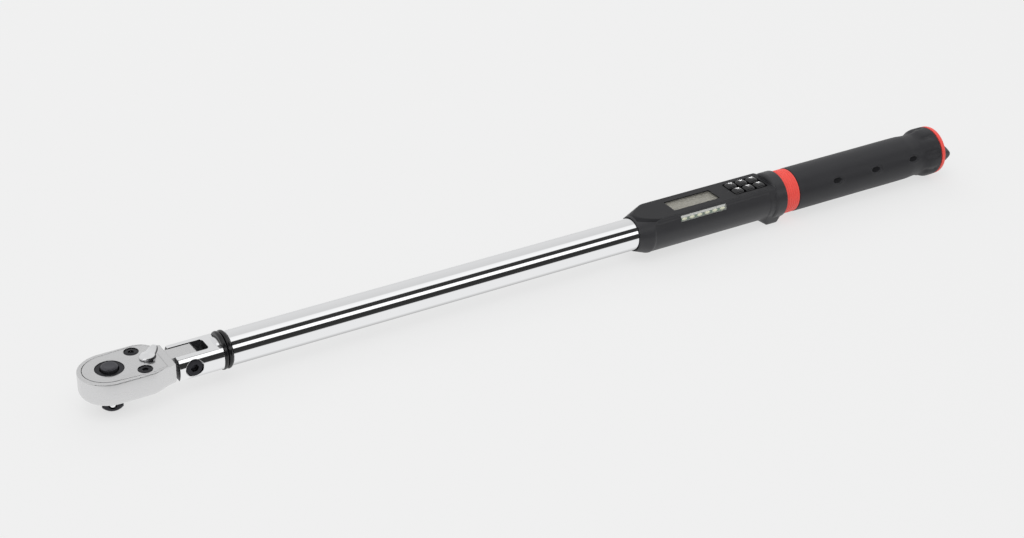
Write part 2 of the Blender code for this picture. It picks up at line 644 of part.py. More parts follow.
def housing_body():
    body = flat("x", BODY_X0 - 1, BODY_X1 + 1, mirrored(OUTER))
    trim(body, turned("x", ENVELOPE, 48))
    foot = hull([(x, sign * half, z) for x, *edges in FOOT
                 for half, z in edges for sign in (1, -1)])
    join(body, foot, turned("x", COLLAR, 48))
    # Cavity, the recess behind it and the tube bore.
    cut(body, flat("x", 383.0, 480.7, mirrored(INNER)), rod("x", CENTRE, 12.7, 479.8, 486.6, 36))
    cut(body, rod("x", CENTRE, SLEEVE_BORE, 360, 500, 40))
    # Light window openings, then screw holes and counterbores.
    cut(body, *[box((400.9, 438.5), y, (6.9, 13)) for y in ((-17, -8), (8, 17))])
    cut(body, *rods("z", HOUSING_SCREWS, 1.7, -20, -8, 12))
    cut(body, *rods("z", HOUSING_SCREWS, 3.3, -20, SCREW_SEAT, 16))
    piece(body, "housing_body", PLASTIC)


def deck_cover():
    shoulder, flank = DECK_HALF - DECK_CHAMFER, DECK_Z - DECK_CHAMFER
    deck = flat("x", BODY_X0 + 0.4, 480.0, mirrored([(shoulder, DECK_Z), (DECK_HALF, flank),
                                                     (DECK_HALF, 11.5)])[::-1])
    trim(deck, turned("x", ENVELOPE, 48))
    # Openings for the display and the keypad.
    half = LCD_HALF + 0.8
    cut(deck, box((LCD_X0 - 0.8, LCD_X1 + 0.8), (-half, half), (10, 16)))
    half = KEY_Y + KEY_W / 2 + 0.4
    cut(deck, box((KEY_X[0] - KEY_L / 2 - 0.5, KEY_X[2] + KEY_L / 2 + 0.5), (-half, half),
                  (10, 16)))
    piece(deck, "deck_cover", PLASTIC)


def display():
    half = LCD_HALF + 0.4
    piece(box((LCD_X0 - 0.4, LCD_X1 + 0.4), (-half, half), (11.5, 12.7)),
          "lcd_window", LCD_GLASS)
    piece(box((398.6, 438.6), (-8.2, 8.2), (9.2, 11.1)), "lcd_panel", LCD_FACE)


def keypad():
    for row, x in zip(("front", "middle", "rear"), KEY_X):
        for side, sign in SIDES:
            y = sign * KEY_Y
            key = box((x - KEY_L / 2, x + KEY_L / 2), (y - KEY_W / 2, y + KEY_W / 2),
                      (10.4, KEY_TOP))
            piece(soft(key, 1.3, 2), f"key_{row}_{side}", GLOSS)
    piece(box((447, 480), (-9.2, 9.2), (8.8, 9.55)), "keypad_sheet", RUBBER)


def circuit_board():
    piece(box((392, 483), (-8.4, 8.4), (6.9, 8.4)), "circuit_board", BOARD)


def lights():
    """A window on each flank with a strip of LEDs behind it."""
    lens = [(12.45, 11.1), (13.4, 9.0), (13.9, 7.2), (11.9, 7.2), (10.6, 11.1)]  # y, z
    for side, sign in SIDES:
        piece(flat("x", 401.2, 438.2, [(sign * y, z) for y, z in lens]),
              f"light_window_{side}", LIGHT_GLASS)
        strip = box((402.5, 437.0), sorted((sign * 8.7, sign * 9.6)), (7.0, 10.6))
        start, end = sorted((sign * 9.3, sign * 10.3))
        places = [(LED_X + LED_PITCH * i, 8.8) for i in range(LED_COUNT)]
        join(strip, *rods("y", places, 1.5, start, end, 10))
        piece(strip, f"led_strip_{side}", LED)


def buzzer():
    piece(rod("z", (466, 0), 4.5, 2.2, 6.6, 24), "buzzer", PLASTIC)


def housing_screws():
    under, base = SCREW_SEAT - 0.3, SCREW_SEAT - 1.7  # the screw head's two faces
    profile = [(-9.7, 0), (-9.7, 1.4), (under, 1.4), (under, 2.9), (SCREW_SEAT - 1.4, 2.9),
               (base, 2.4), (base, 0)]
    for end, at in zip(("front", "rear"), HOUSING_SCREWS):
        screw = turned("z", profile, 16, at)
        cut(screw, rod("z", at, 1.4, SCREW_SEAT - 3, SCREW_SEAT - 0.8, 6))
        piece(screw, f"housing_screw_{end}", STEEL)


# ---- handle -------------------------------------------------------------------------------
def front_ring():
    """Red ring with two shallow V grooves."""
    profile = [(RING_X1, SLEEVE_BORE), (RING_X1, RING_R)]
    for i in range(2):
        x = RING_X1 - GROOVE_PITCH * (i + 1)
        profile += [(x + GROOVE_HALF, RING_R), (x, RING_R - GROOVE_DEPTH),
                    (x - GROOVE_HALF, RING_R)]
    profile += [(RING_X0, RING_R), (RING_X0, SLEEVE_BORE)]
    piece(turned("x", profile, 36), "trim_ring_front", RED)


def grip_sleeve():
    profile = [(GRIP_X1, SLEEVE_BORE), (GRIP_X1, FLARE_R - 0.15), (624.0, FLARE_R),
               (621.5, 17.5), (619.0, 17.0), (617.0, 16.1), (615.5, 15.3), (613.5, 14.9),
               (609.0, 15.0), (603.0, GRIP_R), (GRIP_X0 + 0.8, GRIP_R),
               (GRIP_X0, GRIP_R - 0.5), (GRIP_X0, SLEEVE_BORE)]
    piece(turned("x", profile, 40), "grip_sleeve", RUBBER)


def batteries():
    """Sleeve, front contact and two cells, each with a button at its front end."""
    piece(turned("x", [(600.8, 7.5), (600.8, 9.2), (499.8, 9.2), (499.8, 7.5)]),
          "battery_sleeve", PLASTIC)
    piece(rod("x", CENTRE, 8.8, 498.3, 499.4, 24), "battery_contact", BRASS)
    for end, x in (("front", 499.8), ("rear", 550.4)):
        profile = [(x + 1 + CELL_L, 0), (x + 1 + CELL_L, CELL_R), (x + 1, CELL_R),
                   (x + 1, 2.7), (x, 2.7), (x, 0)]
        piece(turned("x", profile, 24), f"battery_{end}", CELL)


def vibration():
    """Motor, and the half-disc weight on its shaft."""
    piece(rod("x", CENTRE, 5.0, 488.3, 497.9, 20), "vibration_motor", STEEL)
    weight = flat("x", 484.6, 487.4, arc(0, 0, 4.2, 180, 360, 12) + arc(0, 0, 1.0, 0, 180, 6))
    join(weight, rod("x", CENTRE, 0.6, 484.8, 488.0, 10))
    piece(weight, "vibration_weight", BRASS, WEIGHT)


def battery_cap():
    profile = [(634.6, 0), (634.6, 12.5), (634.0, 15.2), (633.1, 16.5), (633.1, 14.4),
               (CAP_X0, 14.4), (CAP_X0, 9.2), (608.0, 9.2), (608.0, 0)]
    # Elliptical sections of the grip bar across the end: x, half width, half height.
    bar = ((634.3, 14.6, 9.0), (637.5, 14.0, 6.2), (640.0, 13.2, 3.6), (CAP_X1, 11.6, 1.6))
    cap = turned("x", profile)
    join(cap, hull([(x, wide * math.cos(math.radians(angle)), high * math.sin(math.radians(angle)))
                    for x, wide, high in bar for angle in range(0, 360, 24)]))
    piece(cap, "battery_cap", PLASTIC, CAP)


def cap_fittings():
    """Rear trim ring, O-ring and tapered spring, all carried by the cap."""
    ring = [(632.8, 14.75), (632.8, 16.9), (631.6, 17.3), (629.6, 17.45), (629.6, 14.75)]
    piece(turned("x", ring, 36), "trim_ring_rear", RED, CAP)
    seal = [(626.9, 9.5), (626.9, 10.6), (626.2, 11.1), (625.2, 11.1), (624.5, 10.6), (624.5, 9.5)]
    piece(turned("x", seal, 24), "cap_o_ring", RUBBER, CAP)
    piece(coil("x", CENTRE, 5.6, 607.3, 601.6, 3.5, 0.45, end_radius=2.6),
          "cap_spring", SPRING, CAP)


for build in (
    head_body, cover_plate, cover_screws, drive_gear, drive_release, pawl, reversing_lever,
    lever_plunger, yoke, pivot, flex_plunger, neck_seals, main_tube, torque_beam,
    strain_gauges, gauge_cable, housing_body, deck_cover, display, keypad, circuit_board,
    lights, buzzer, housing_screws, front_ring, grip_sleeve, batteries, vibration,
    battery_cap, cap_fittings,
):
    build()
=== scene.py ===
"""Looks of an electronic torque wrench: meshes, materials, studio and camera around the CAD frame.

The tool lies along X, with the drive square's axis at x = 0 and the end cap near x = 641. Z is up.
"Front" is the low-X end of a piece, "near" is the -Y side and "far" is +Y. Shapes are drawn in
millimetres from the tool axis, the centre line of the tube, and show() sets them in the row frame.
"""
import json
import math

import bmesh
import bpy
from mathutils import Matrix, Vector


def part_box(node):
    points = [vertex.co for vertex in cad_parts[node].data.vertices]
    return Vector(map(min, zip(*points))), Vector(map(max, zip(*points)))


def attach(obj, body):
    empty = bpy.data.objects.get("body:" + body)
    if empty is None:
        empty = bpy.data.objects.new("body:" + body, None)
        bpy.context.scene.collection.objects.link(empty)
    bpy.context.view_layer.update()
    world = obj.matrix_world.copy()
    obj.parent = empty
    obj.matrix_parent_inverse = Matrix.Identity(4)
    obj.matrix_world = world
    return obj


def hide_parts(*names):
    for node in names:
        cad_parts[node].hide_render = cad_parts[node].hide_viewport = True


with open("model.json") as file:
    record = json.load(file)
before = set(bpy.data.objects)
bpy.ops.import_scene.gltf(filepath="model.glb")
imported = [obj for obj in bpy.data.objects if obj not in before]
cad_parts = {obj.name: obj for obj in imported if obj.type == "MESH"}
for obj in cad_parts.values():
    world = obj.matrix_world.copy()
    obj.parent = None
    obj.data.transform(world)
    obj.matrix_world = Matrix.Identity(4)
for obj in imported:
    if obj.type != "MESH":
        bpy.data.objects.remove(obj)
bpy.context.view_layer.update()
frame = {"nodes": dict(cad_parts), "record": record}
MM = 0.001

tube_low, tube_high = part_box("main_tube")
AXIS = (tube_low[2] + tube_high[2]) / 2  # height of the tool axis, in metres
TUBE_R = (tube_high[1] - tube_low[1]) / 2 / MM
TUBE_X0, TUBE_X1 = tube_low[0] / MM, tube_high[0] / MM
SIDES_Y = (("near", -1), ("far", 1))


def span(node):
    """The two corners of a CAD node's box, in millimetres from the tool axis."""
    return [[v / MM for v in (corner[0], corner[1], corner[2] - AXIS)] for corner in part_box(node)]


# ---- numbers and outlines ----------------------------------------------------------
def smoothstep(start, end, x):
    t = min(max((x - start) / (end - start), 0.0), 1.0)
    return t * t * (3 - 2 * t)


def fall(start, end, x):
    """Goes smoothly from 1 to 0."""
    return 1 - smoothstep(start, end, x)


def squarish(wave, power):
    """A sine or cosine raised to a power with its sign kept; low powers square off an ellipse."""
    return math.copysign(abs(wave) ** power, wave)


def turns_of(count):
    """Evenly spaced angles round a full turn."""
    return [2 * math.pi * j / count for j in range(count)]


def curve_through(table, x):
    """Smooth values between the rows of (x, value, value...)."""
    last = len(table) - 1
    after = next((k for k, row in enumerate(table) if row[0] > x), last + 1)
    i = max(min(after - 1, last - 1), 0)
    p0, p1, p2, p3 = table[max(i - 1, 0)], table[i], table[i + 1], table[min(i + 2, last)]
    step = p2[0] - p1[0]
    t = (x - p1[0]) / step
    t2, t3 = t * t, t * t * t
    out = []
    for k in range(1, len(p1)):
        slope1 = (p2[k] - p0[k]) / max(p2[0] - p0[0], 1e-9) * step
        slope2 = (p3[k] - p1[k]) / max(p3[0] - p1[0], 1e-9) * step
        out.append((2 * t3 - 3 * t2 + 1) * p1[k] + (t3 - 2 * t2 + t) * slope1
                   + (3 * t2 - 2 * t3) * p2[k] + (t3 - t2) * slope2)
    return out


def round_path(points, closed=True, steps=6):
    """Points (u, v) or (u, v, radius): each corner with a radius becomes an arc."""
    out = []
    count = len(points)
    for i, point in enumerate(points):
        radius = point[2] if len(point) > 2 else 0.0
        if radius <= 0 or (not closed and i in (0, count - 1)):
            out.append((point[0], point[1]))
            continue
        here = Vector(point[:2])
        back_way = Vector(points[i - 1][:2]) - here
        next_way = Vector(points[(i + 1) % count][:2]) - here
        back_length, next_length = back_way.length, next_way.length
        back_way.normalize()
        next_way.normalize()
        half = max(min(back_way.angle(next_way), math.pi - 1e-3), 1e-3) / 2
        reach = min(radius / math.tan(half), 0.49 * back_length, 0.49 * next_length)
        radius = reach * math.tan(half)
        mid = here + (back_way + next_way).normalized() * (radius / math.sin(half))
        start, end = here + back_way * reach - mid, here + next_way * reach - mid
        for k in range(steps + 1):
            spoke = start.lerp(end, k / steps).normalized() * radius
            out.append((mid.x + spoke.x, mid.y + spoke.y))
    return out


def resample(points, count):
    """Points at even distances round a closed outline."""
    closed = points + [points[0]]
    lengths = [0.0]
    for a, b in zip(closed, closed[1:]):
        lengths.append(lengths[-1] + math.hypot(b[0] - a[0], b[1] - a[1]))
    out, i = [], 0
    for k in range(count):
        along = lengths[-1] * k / count
        while lengths[i + 1] < along:
            i += 1
        f = (along - lengths[i]) / max(lengths[i + 1] - lengths[i], 1e-12)
        a, b = closed[i], closed[i + 1]
        out.append((a[0] + (b[0] - a[0]) * f, a[1] + (b[1] - a[1]) * f))
    return out


def arc(u, v, radius, start, end, steps):
    """Points on an arc; angles in degrees."""
    turns = [math.radians(start + (end - start) * i / steps) for i in range(steps + 1)]
    return [(u + radius * math.cos(a), v + radius * math.sin(a)) for a in turns]


def circle(u, v, radius, steps):
    return arc(u, v, radius, 0, 360 * (steps - 1) / steps, steps - 1)


def rounded_rect(x0, x1, half_width, radius, steps=6):
    corners = ((x1, half_width), (x0, half_width), (x0, -half_width), (x1, -half_width))
    return round_path([(*corner, radius) for corner in corners], steps=steps)


# ---- mesh tools ------------------------------------------------------------------
def outward(draft):
    bmesh.ops.recalc_face_normals(draft, faces=draft.faces)
    if draft.calc_volume(signed=True) < 0:
        bmesh.ops.reverse_faces(draft, faces=draft.faces)


def from_bmesh(draft, name="shape"):
    mesh = bpy.data.meshes.new(name)
    draft.to_mesh(mesh)
    draft.free()
    obj = bpy.data.objects.new(name, mesh)
    bpy.context.scene.collection.objects.link(obj)
    return obj


def bake(obj, clean=False):
    """Applies modifiers, or turns a curve into a mesh, keeping the object's place in the mesh."""
    bpy.context.view_layer.update()
    seen = obj.evaluated_get(bpy.context.evaluated_depsgraph_get())
    mesh = bpy.data.meshes.new_from_object(seen)
    mesh.transform(obj.matrix_world)
    bpy.data.objects.remove(obj, do_unlink=True)
    draft = bmesh.new()
    draft.from_mesh(mesh)
    bpy.data.meshes.remove(mesh)
    if clean:
        bmesh.ops.remove_doubles(draft, verts=draft.verts, dist=1e-6)
        bmesh.ops.dissolve_limit(draft, angle_limit=0.001, verts=draft.verts, edges=draft.edges)
        outward(draft)
    return from_bmesh(draft)


# Turns a flat XY outline to face along each axis.
TURN = {
    "x": Matrix(((0, 0, 1, 0), (1, 0, 0, 0), (0, 1, 0, 0), (0, 0, 0, 1))),
    "y": Matrix(((1, 0, 0, 0), (0, 0, -1, 0), (0, 1, 0, 0), (0, 0, 0, 1))),
    "z": Matrix.Identity(4),
}


def on_axis(axis, height, u, v):
    """The point at a height along an axis, with u and v across it."""
    return {"x": (height, u, v), "y": (u, height, v), "z": (u, v, height)}[axis]


def flat(axis, low, high, *outlines):
    """Flat outline with holes, extruded: (x, y) outlines for z, (x, z) for y, (y, z) for x."""
    curve = bpy.data.curves.new("outline", "CURVE")
    curve.dimensions = "2D"
    curve.fill_mode = "BOTH"
    curve.extrude = (high - low) / 2 * MM
    for points in outlines:
        spline = curve.splines.new("POLY")
        spline.points.add(len(points) - 1)
        for slot, (u, v) in zip(spline.points, points):
            slot.co = (u * MM, v * MM, 0.0, 1.0)
        spline.use_cyclic_u = True
    obj = bpy.data.objects.new("outline", curve)
    bpy.context.scene.collection.objects.link(obj)
    middle = on_axis(axis, (high + low) / 2 * MM, 0, 0)
    obj.matrix_world = Matrix.Translation(middle) @ TURN[axis]
    return bake(obj, clean=True)


def rim_bevel(obj, axis, at, width, segments):
    """Rounds the creases that lie in one plane across an axis."""
    k = "xyz".index(axis)
    draft = bmesh.new()
    draft.from_mesh(obj.data)
    rim = [e for e in draft.edges if all(abs(v.co[k] - at * MM) < 1e-6 for v in e.verts)
           and len(e.link_faces) == 2 and e.calc_face_angle() > 0.5]
    bmesh.ops.bevel(draft, geom=rim, offset=width * MM, segments=segments, profile=0.5,
                    affect="EDGES", clamp_overlap=False)
    bmesh.ops.remove_doubles(draft, verts=draft.verts, dist=1e-6)
    outward(draft)
    draft.to_mesh(obj.data)
    draft.free()
    return obj


def rod(axis, at, radius, low, high, sides=96):
    """A round cutter or core along an axis."""
    return flat(axis, low, high, circle(*at, radius, sides))


def hexagon(axis, at, radius, low, high):
    return flat(axis, low, high, arc(*at, radius, 0, 300, 5))


def block(x, y, z, edge=0.0, segments=2):
    """A box given by its ranges, its edges rounded by a radius."""
    draft = bmesh.new()
    size = Vector((x[1] - x[0], y[1] - y[0], z[1] - z[0])) * MM
    mid = Vector((x[1] + x[0], y[1] + y[0], z[1] + z[0])) * MM / 2
    place = Matrix.Translation(mid) @ Matrix.Diagonal((*size, 1.0))
    bmesh.ops.create_cube(draft, size=1.0, matrix=place)
    if edge:
        bmesh.ops.bevel(draft, geom=list(draft.edges), offset=edge * MM, segments=segments,
                        profile=0.5, affect="EDGES")
    outward(draft)
    return from_bmesh(draft)


def ellipsoid(centre, radii, subdivisions):
    draft = bmesh.new()
    place = Matrix.Translation(Vector(centre) * MM) @ Matrix.Diagonal((*(r * MM for r in radii), 1))
    bmesh.ops.create_icosphere(draft, subdivisions=subdivisions, radius=1.0, matrix=place)
    return from_bmesh(draft)


def skin(rows, loop=False):
    """A skin over rows of points; each row is a closed ring, or one point for a pole."""
    draft = bmesh.new()
    rings = [[draft.verts.new(Vector(p) * MM) for p in row] for row in rows]
    pairs = list(zip(rings, rings[1:]))
    if loop:
        pairs.append((rings[-1], rings[0]))
    for a, b in pairs:
        count = max(len(a), len(b))
        for j in range(count):
            k = (j + 1) % count
            if len(a) == 1:
                draft.faces.new((a[0], b[j], b[k]))
            elif len(b) == 1:
                draft.faces.new((a[j], b[0], a[k]))
            else:
                draft.faces.new((a[j], b[j], b[k], a[k]))
    if not loop:
        for ring in (rings[0], rings[-1]):
            if len(ring) > 2:
                draft.faces.new(ring)
    outward(draft)
    return from_bmesh(draft)


def ring_at(axis, height, radius, at, sides, wave):
    pole = radius < 1e-6
    out = []
    for a in [0.0] if pole else turns_of(sides):
        r = radius + (wave(height, a) if wave and not pole else 0.0)
        out.append(on_axis(axis, height, r * math.cos(a) + at[0], r * math.sin(a) + at[1]))
    return out


def lathe(axis, profile, sides=128, at=(0.0, 0.0), steps=6, wave=None):
    """Turns (height, radius[, corner radius]) about an axis.

    It closes on the axis, or on itself for a ring. wave(height, angle) is added to the radius.
    """
    hollow = min(p[1] for p in profile) > 1e-6
    path = round_path(profile, closed=hollow, steps=steps)
    return skin([ring_at(axis, h, r, at, sides, wave) for h, r in path], loop=hollow)


def helix(axis, radius, low, high, turns, wire, end_radius=None):
    """A wound spring on the tool's or the drive's axis, with closed end coils."""
    per_turn, sides, closed_turns = 32, 12, 0.6
    count = int(turns * per_turn)
    end_share = wire * 2.0 / abs(high - low)
    end_radius = radius if end_radius is None else end_radius
    line = []
    for i in range(count + 1):
        t = i / count
        a = 2 * math.pi * turns * t
        rise = (t * turns - closed_turns) / max(turns - 2 * closed_turns, 0.1)
        rise = min(max(rise, 0.0), 1.0)
        ends = (min(t * turns / closed_turns, 1.0)
                + max((t * turns - turns + closed_turns) / closed_turns, 0.0))
        h = low + (high - low) * (rise * (1 - 2 * end_share) + end_share * ends)
        r = radius + (end_radius - radius) * t
        line.append(Vector(on_axis(axis, h, r * math.cos(a), r * math.sin(a))))
    rows = []
    axis_way = Vector(on_axis(axis, 1, 0, 0))
    for i, p in enumerate(line):
        ahead = (line[min(i + 1, count)] - line[max(i - 1, 0)]).normalized()
        first = ahead.cross(axis_way).normalized()
        second = ahead.cross(first).normalized()
        rows.append([tuple(p + (first * math.cos(a) + second * math.sin(a)) * wire)
                     for a in turns_of(sides)])
    return skin(rows)


def boolean(obj, how, *others):
    for other in others:
        mod = obj.modifiers.new("op", "BOOLEAN")
        mod.operation = how
        mod.solver = "EXACT"
        mod.object = other
        obj = bake(obj)
        bpy.data.objects.remove(other, do_unlink=True)
    return obj


def cut(obj, *others):
    return boolean(obj, "DIFFERENCE", *others)


def join(obj, *others):
    return boolean(obj, "UNION", *others)


def spun(obj, degrees, x=0.0):
    """Turns a shape about the vertical line at x."""
    line = Matrix.Translation((x * MM, 0, 0))
    obj.data.transform(line @ Matrix.Rotation(math.radians(degrees), 4, "Z") @ line.inverted())
    return obj


# ---- materials ---------------------------------------------------------------------
class Nodes:
    """Adds nodes to one tree. An input is given as a value, or as the socket to link to it."""

    def __init__(self, tree):
        self.tree = tree

    def feed(self, node, inputs):
        for key, value in inputs.items():
            if isinstance(value, bpy.types.NodeSocket):
                self.tree.links.new(value, node.inputs[key])
            else:
                node.inputs[key].default_value = value
        return node

    def add(self, kind, inputs=None, **settings):
        node = self.tree.nodes.new("ShaderNode" + kind)
        for key, value in settings.items():
            setattr(node, key, value)
        return self.feed(node, inputs or {})

    def math(self, how, *values, clamp=False):
        inputs = dict(enumerate(values))
        return self.add("Math", inputs, operation=how, use_clamp=clamp).outputs[0]

    def noise(self, where, scale, detail):
        inputs = {"Scale": scale, "Detail": detail, "Vector": where}
        return self.add("TexNoise", inputs).outputs["Fac"]

    def mix(self, *inputs, **settings):
        """Factor, first colour, second colour."""
        return self.add("MixRGB", dict(enumerate(inputs)), **settings).outputs[0]

    def dot(self, first, second):
        inputs = {0: first, 1: second}
        return self.add("VectorMath", inputs, operation="DOT_PRODUCT").outputs["Value"]


def limits(start, end, low=0.0, high=1.0):
    """Inputs of a Map Range node that takes start..end to low..high."""
    return {"From Min": start, "From Max": end, "To Min": low, "To Max": high}


def opaque(rgb):
    return (*rgb, 1.0)


def scratch_marks(nodes, where):
    """A mask of long thin marks in a slanting direction."""
    stretch = {"Rotation": (0.5, 0.3, 0.7), "Scale": (0.04, 1.0, 1.0), "Vector": where}
    line = nodes.noise(nodes.add("Mapping", stretch).outputs[0], scale=700, detail=2)
    threshold, contrast = 0.62, 6.0
    above = nodes.math("SUBTRACT", line, threshold, clamp=True)
    return nodes.math("MULTIPLY", above, contrast, clamp=True)


def worn_edges(nodes, colour, rounded, broad, wear, wear_rgb):
    """Lightens the colour where the rounded normal leaves the face's own."""
    flatness = nodes.dot(rounded, nodes.add("NewGeometry").outputs["Normal"])
    contrast = 6.0
    rub = nodes.math("MULTIPLY", nodes.math("SUBTRACT", 1.0, flatness), contrast, clamp=True)
    rub = nodes.math("MULTIPLY", nodes.math("MULTIPLY", rub, broad), wear, clamp=True)
    return nodes.mix(rub, colour, opaque(wear_rgb))


def shaded_side(nodes, colour, way, start, full, grey):
    """Paints a dark reflection on the faces that look along a direction, with a slight blue tint."""
    facing = nodes.dot(nodes.add("NewGeometry").outputs["Normal"], way)
    away = nodes.add("MapRange", {"Value": facing, **limits(start, full)},
                     interpolation_type="SMOOTHSTEP").outputs[0]
    return nodes.mix(away, colour, opaque((grey, grey, grey * 1.05)))


def surface(name, rgb, rough, grain, blotch, edge, metal=0.0, scratch=None, wear=0.0,
            wear_rgb=None, coat=0.0, coat_rough=0.05, specular=0.5, alpha=1.0, shade=None):
    """A procedural surface. Texture scales are per metre, so every detail keeps its real size.

    grain is (scale, height in micrometres), blotch is (scale, roughness change, colour change),
    scratch is (roughness change, depth in micrometres), edge is the rounding of the creases in
    millimetres, wear lightens the edges, and shade holds the arguments of shaded_side().
    """
    made = bpy.data.materials.new(name)
    made.use_nodes = True
    nodes = Nodes(made.node_tree)
    where = nodes.add("TexCoord").outputs["Object"]
    blotch_scale, blotch_rough, blotch_colour = blotch
    grain_scale, grain_height = grain
    broad = nodes.noise(where, blotch_scale, detail=4)
    smudge = nodes.math("SUBTRACT", broad, 0.5)
    fine = nodes.noise(where, grain_scale, detail=3)
    roughness = nodes.math("MULTIPLY_ADD", smudge, blotch_rough * 2, rough)
    height = nodes.math("MULTIPLY", fine, grain_height * 1e-6)
    if scratch:
        mark = scratch_marks(nodes, where)
        roughness = nodes.math("MULTIPLY_ADD", mark, scratch[0], roughness)
        height = nodes.math("MULTIPLY_ADD", mark, -scratch[1] * 1e-6, height)

    bump = nodes.add("Bump", {"Strength": 1.0, "Distance": 1.0, "Height": height})
    if edge > 0:
        rounded = nodes.add("Bevel", {"Radius": edge * MM}, samples=4).outputs[0]
        nodes.feed(bump, {"Normal": rounded})

    tone = nodes.math("MULTIPLY_ADD", smudge, blotch_colour * 2, 1.0)
    colour = nodes.mix(1.0, opaque(rgb), tone, blend_type="MULTIPLY")
    if wear > 0:
        colour = worn_edges(nodes, colour, rounded, broad, wear, wear_rgb)
    if shade:
        colour = shaded_side(nodes, colour, **shade)
    nodes.feed(made.node_tree.nodes["Principled BSDF"], {
        "Normal": bump.outputs[0], "Base Color": colour,
        "Roughness": nodes.math("MAXIMUM", roughness, 0.02), "Metallic": metal, "Alpha": alpha,
        "Specular IOR Level": specular, "Coat Weight": coat, "Coat Roughness": coat_rough})
    made.diffuse_color = opaque(rgb)
    return made


SATIN = surface("satin_chrome", (0.725, 0.725, 0.73), rough=0.26, metal=1, grain=(3800, 1.3),
                blotch=(90, 0.03, 0.02), scratch=(0.05, 0.3), edge=0.35, wear=0.15,
                wear_rgb=(0.85, 0.85, 0.85))
CHROME = surface("polished_chrome", (0.93, 0.935, 0.945), rough=0.035, metal=1, grain=(900, 0.25),
                 blotch=(45, 0.012, 0.01), scratch=(0.03, 0.15), edge=0.35)
BLACK_OXIDE = surface("black_oxide", (0.034, 0.034, 0.039), rough=0.33, metal=0.9, grain=(3000, 3),
                      blotch=(220, 0.08, 0.2), scratch=(0.1, 0.5), edge=0.3, wear=0.55,
                      wear_rgb=(0.22, 0.22, 0.23))
STEEL = surface("machined_steel", (0.56, 0.56, 0.58), rough=0.3, metal=1, grain=(1600, 1.5),
                blotch=(130, 0.08, 0.08), scratch=(0.12, 0.5), edge=0.2)
WIRE = surface("spring_wire", (0.6, 0.6, 0.62), rough=0.22, metal=1, grain=(5000, 0.8),
               blotch=(300, 0.05, 0.1), edge=0)
BRASS = surface("brass", (0.75, 0.56, 0.26), rough=0.3, metal=1, grain=(2500, 1),
                blotch=(150, 0.08, 0.15), edge=0.15)
PLASTIC = surface("housing_plastic", (0.028, 0.028, 0.031), rough=0.42, grain=(2600, 9),
                  blotch=(70, 0.06, 0.12), edge=0.45, wear=0.12, wear_rgb=(0.12, 0.12, 0.125),
                  specular=0.42)
RUBBER = surface("grip_rubber", (0.0225, 0.0225, 0.0255), rough=0.5, grain=(1900, 14),
                 blotch=(55, 0.07, 0.14), edge=0.5, wear=0.1, wear_rgb=(0.1, 0.1, 0.1),
                 specular=0.36)
# Painted shade: a darker copy of the housing plastic for the deck, so the top reads darker than the
# sides.
SHADED_DECK = surface("deck_plastic_shaded", (0.0135, 0.0135, 0.0155), rough=0.44, grain=(2600, 8),
               blotch=(70, 0.06, 0.12), edge=0.3, wear=0.15, wear_rgb=(0.1, 0.1, 0.105),
               specular=0.24)
SEAL = surface("seal_rubber", (0.0065, 0.0065, 0.0075), rough=0.2, grain=(1500, 5),
               blotch=(200, 0.08, 0.2), edge=0)
RED = surface("red_plastic", (0.80, 0.075, 0.058), rough=0.42, grain=(2400, 5),
              blotch=(110, 0.05, 0.06), edge=0.3, specular=0.4)
# Painted shade for the floors of the grip's dimples.
PIT_SHADE = surface("grip_pit_shade", (0.0115, 0.0115, 0.013), rough=0.7, grain=(1900, 10),
              blotch=(90, 0.07, 0.2), edge=0, specular=0.15)
KEY = surface("key_gloss", (0.0045, 0.0045, 0.0055), rough=0.24, grain=(600, 1.5),
              blotch=(160, 0.04, 0.2), edge=0, coat=0.3, coat_rough=0.07, specular=0.45)
DISPLAY = surface("display_glass", (0.315, 0.305, 0.262), rough=0.3, grain=(900, 0.5),
                  blotch=(35, 0.04, 0.05), edge=0.1, coat=0.4)
WINDOW = surface("display_window", (0.36, 0.35, 0.31), rough=0.06, grain=(300, 0.3),
                 blotch=(40, 0.02, 0.05), edge=0, alpha=0.22)
LENS = surface("light_lens", (0.62, 0.63, 0.6), rough=0.12, grain=(500, 1),
               blotch=(120, 0.04, 0.1), edge=0.2, alpha=0.28)
BOARD = surface("solder_mask", (0.015, 0.11, 0.045), rough=0.35, grain=(1200, 2),
                blotch=(350, 0.1, 0.4), edge=0.1)
LED = surface("light_emitter", (0.82, 0.83, 0.60), rough=0.35, grain=(1500, 2),
              blotch=(250, 0.08, 0.12), edge=0)
LIGHT_BAR = surface("light_bar", (0.66, 0.665, 0.65), rough=0.3, grain=(900, 2),
                    blotch=(180, 0.08, 0.16), edge=0.2)
CELL = surface("cell_jacket", (0.03, 0.03, 0.035), rough=0.25, grain=(900, 1),
               blotch=(60, 0.08, 0.3), edge=0.2, coat=0.5)
DARK = surface("inner_dark", (0.012, 0.012, 0.013), rough=0.6, grain=(1500, 4),
               blotch=(90, 0.08, 0.2), edge=0)
# The lever's chrome carries a painted dark reflection on the faces turned towards the handle and the
# near side.
POLISHED = surface("polished_lever", (0.9, 0.905, 0.915), rough=0.07, metal=1, grain=(900, 0.5),
                   blotch=(260, 0.03, 0.1), scratch=(0.04, 0.2), edge=0.45, wear=0.2,
                   wear_rgb=(0.95, 0.95, 0.95),
                   shade=dict(way=(0.62, -0.74, 0.1), start=0.22, full=0.62, grey=0.07))
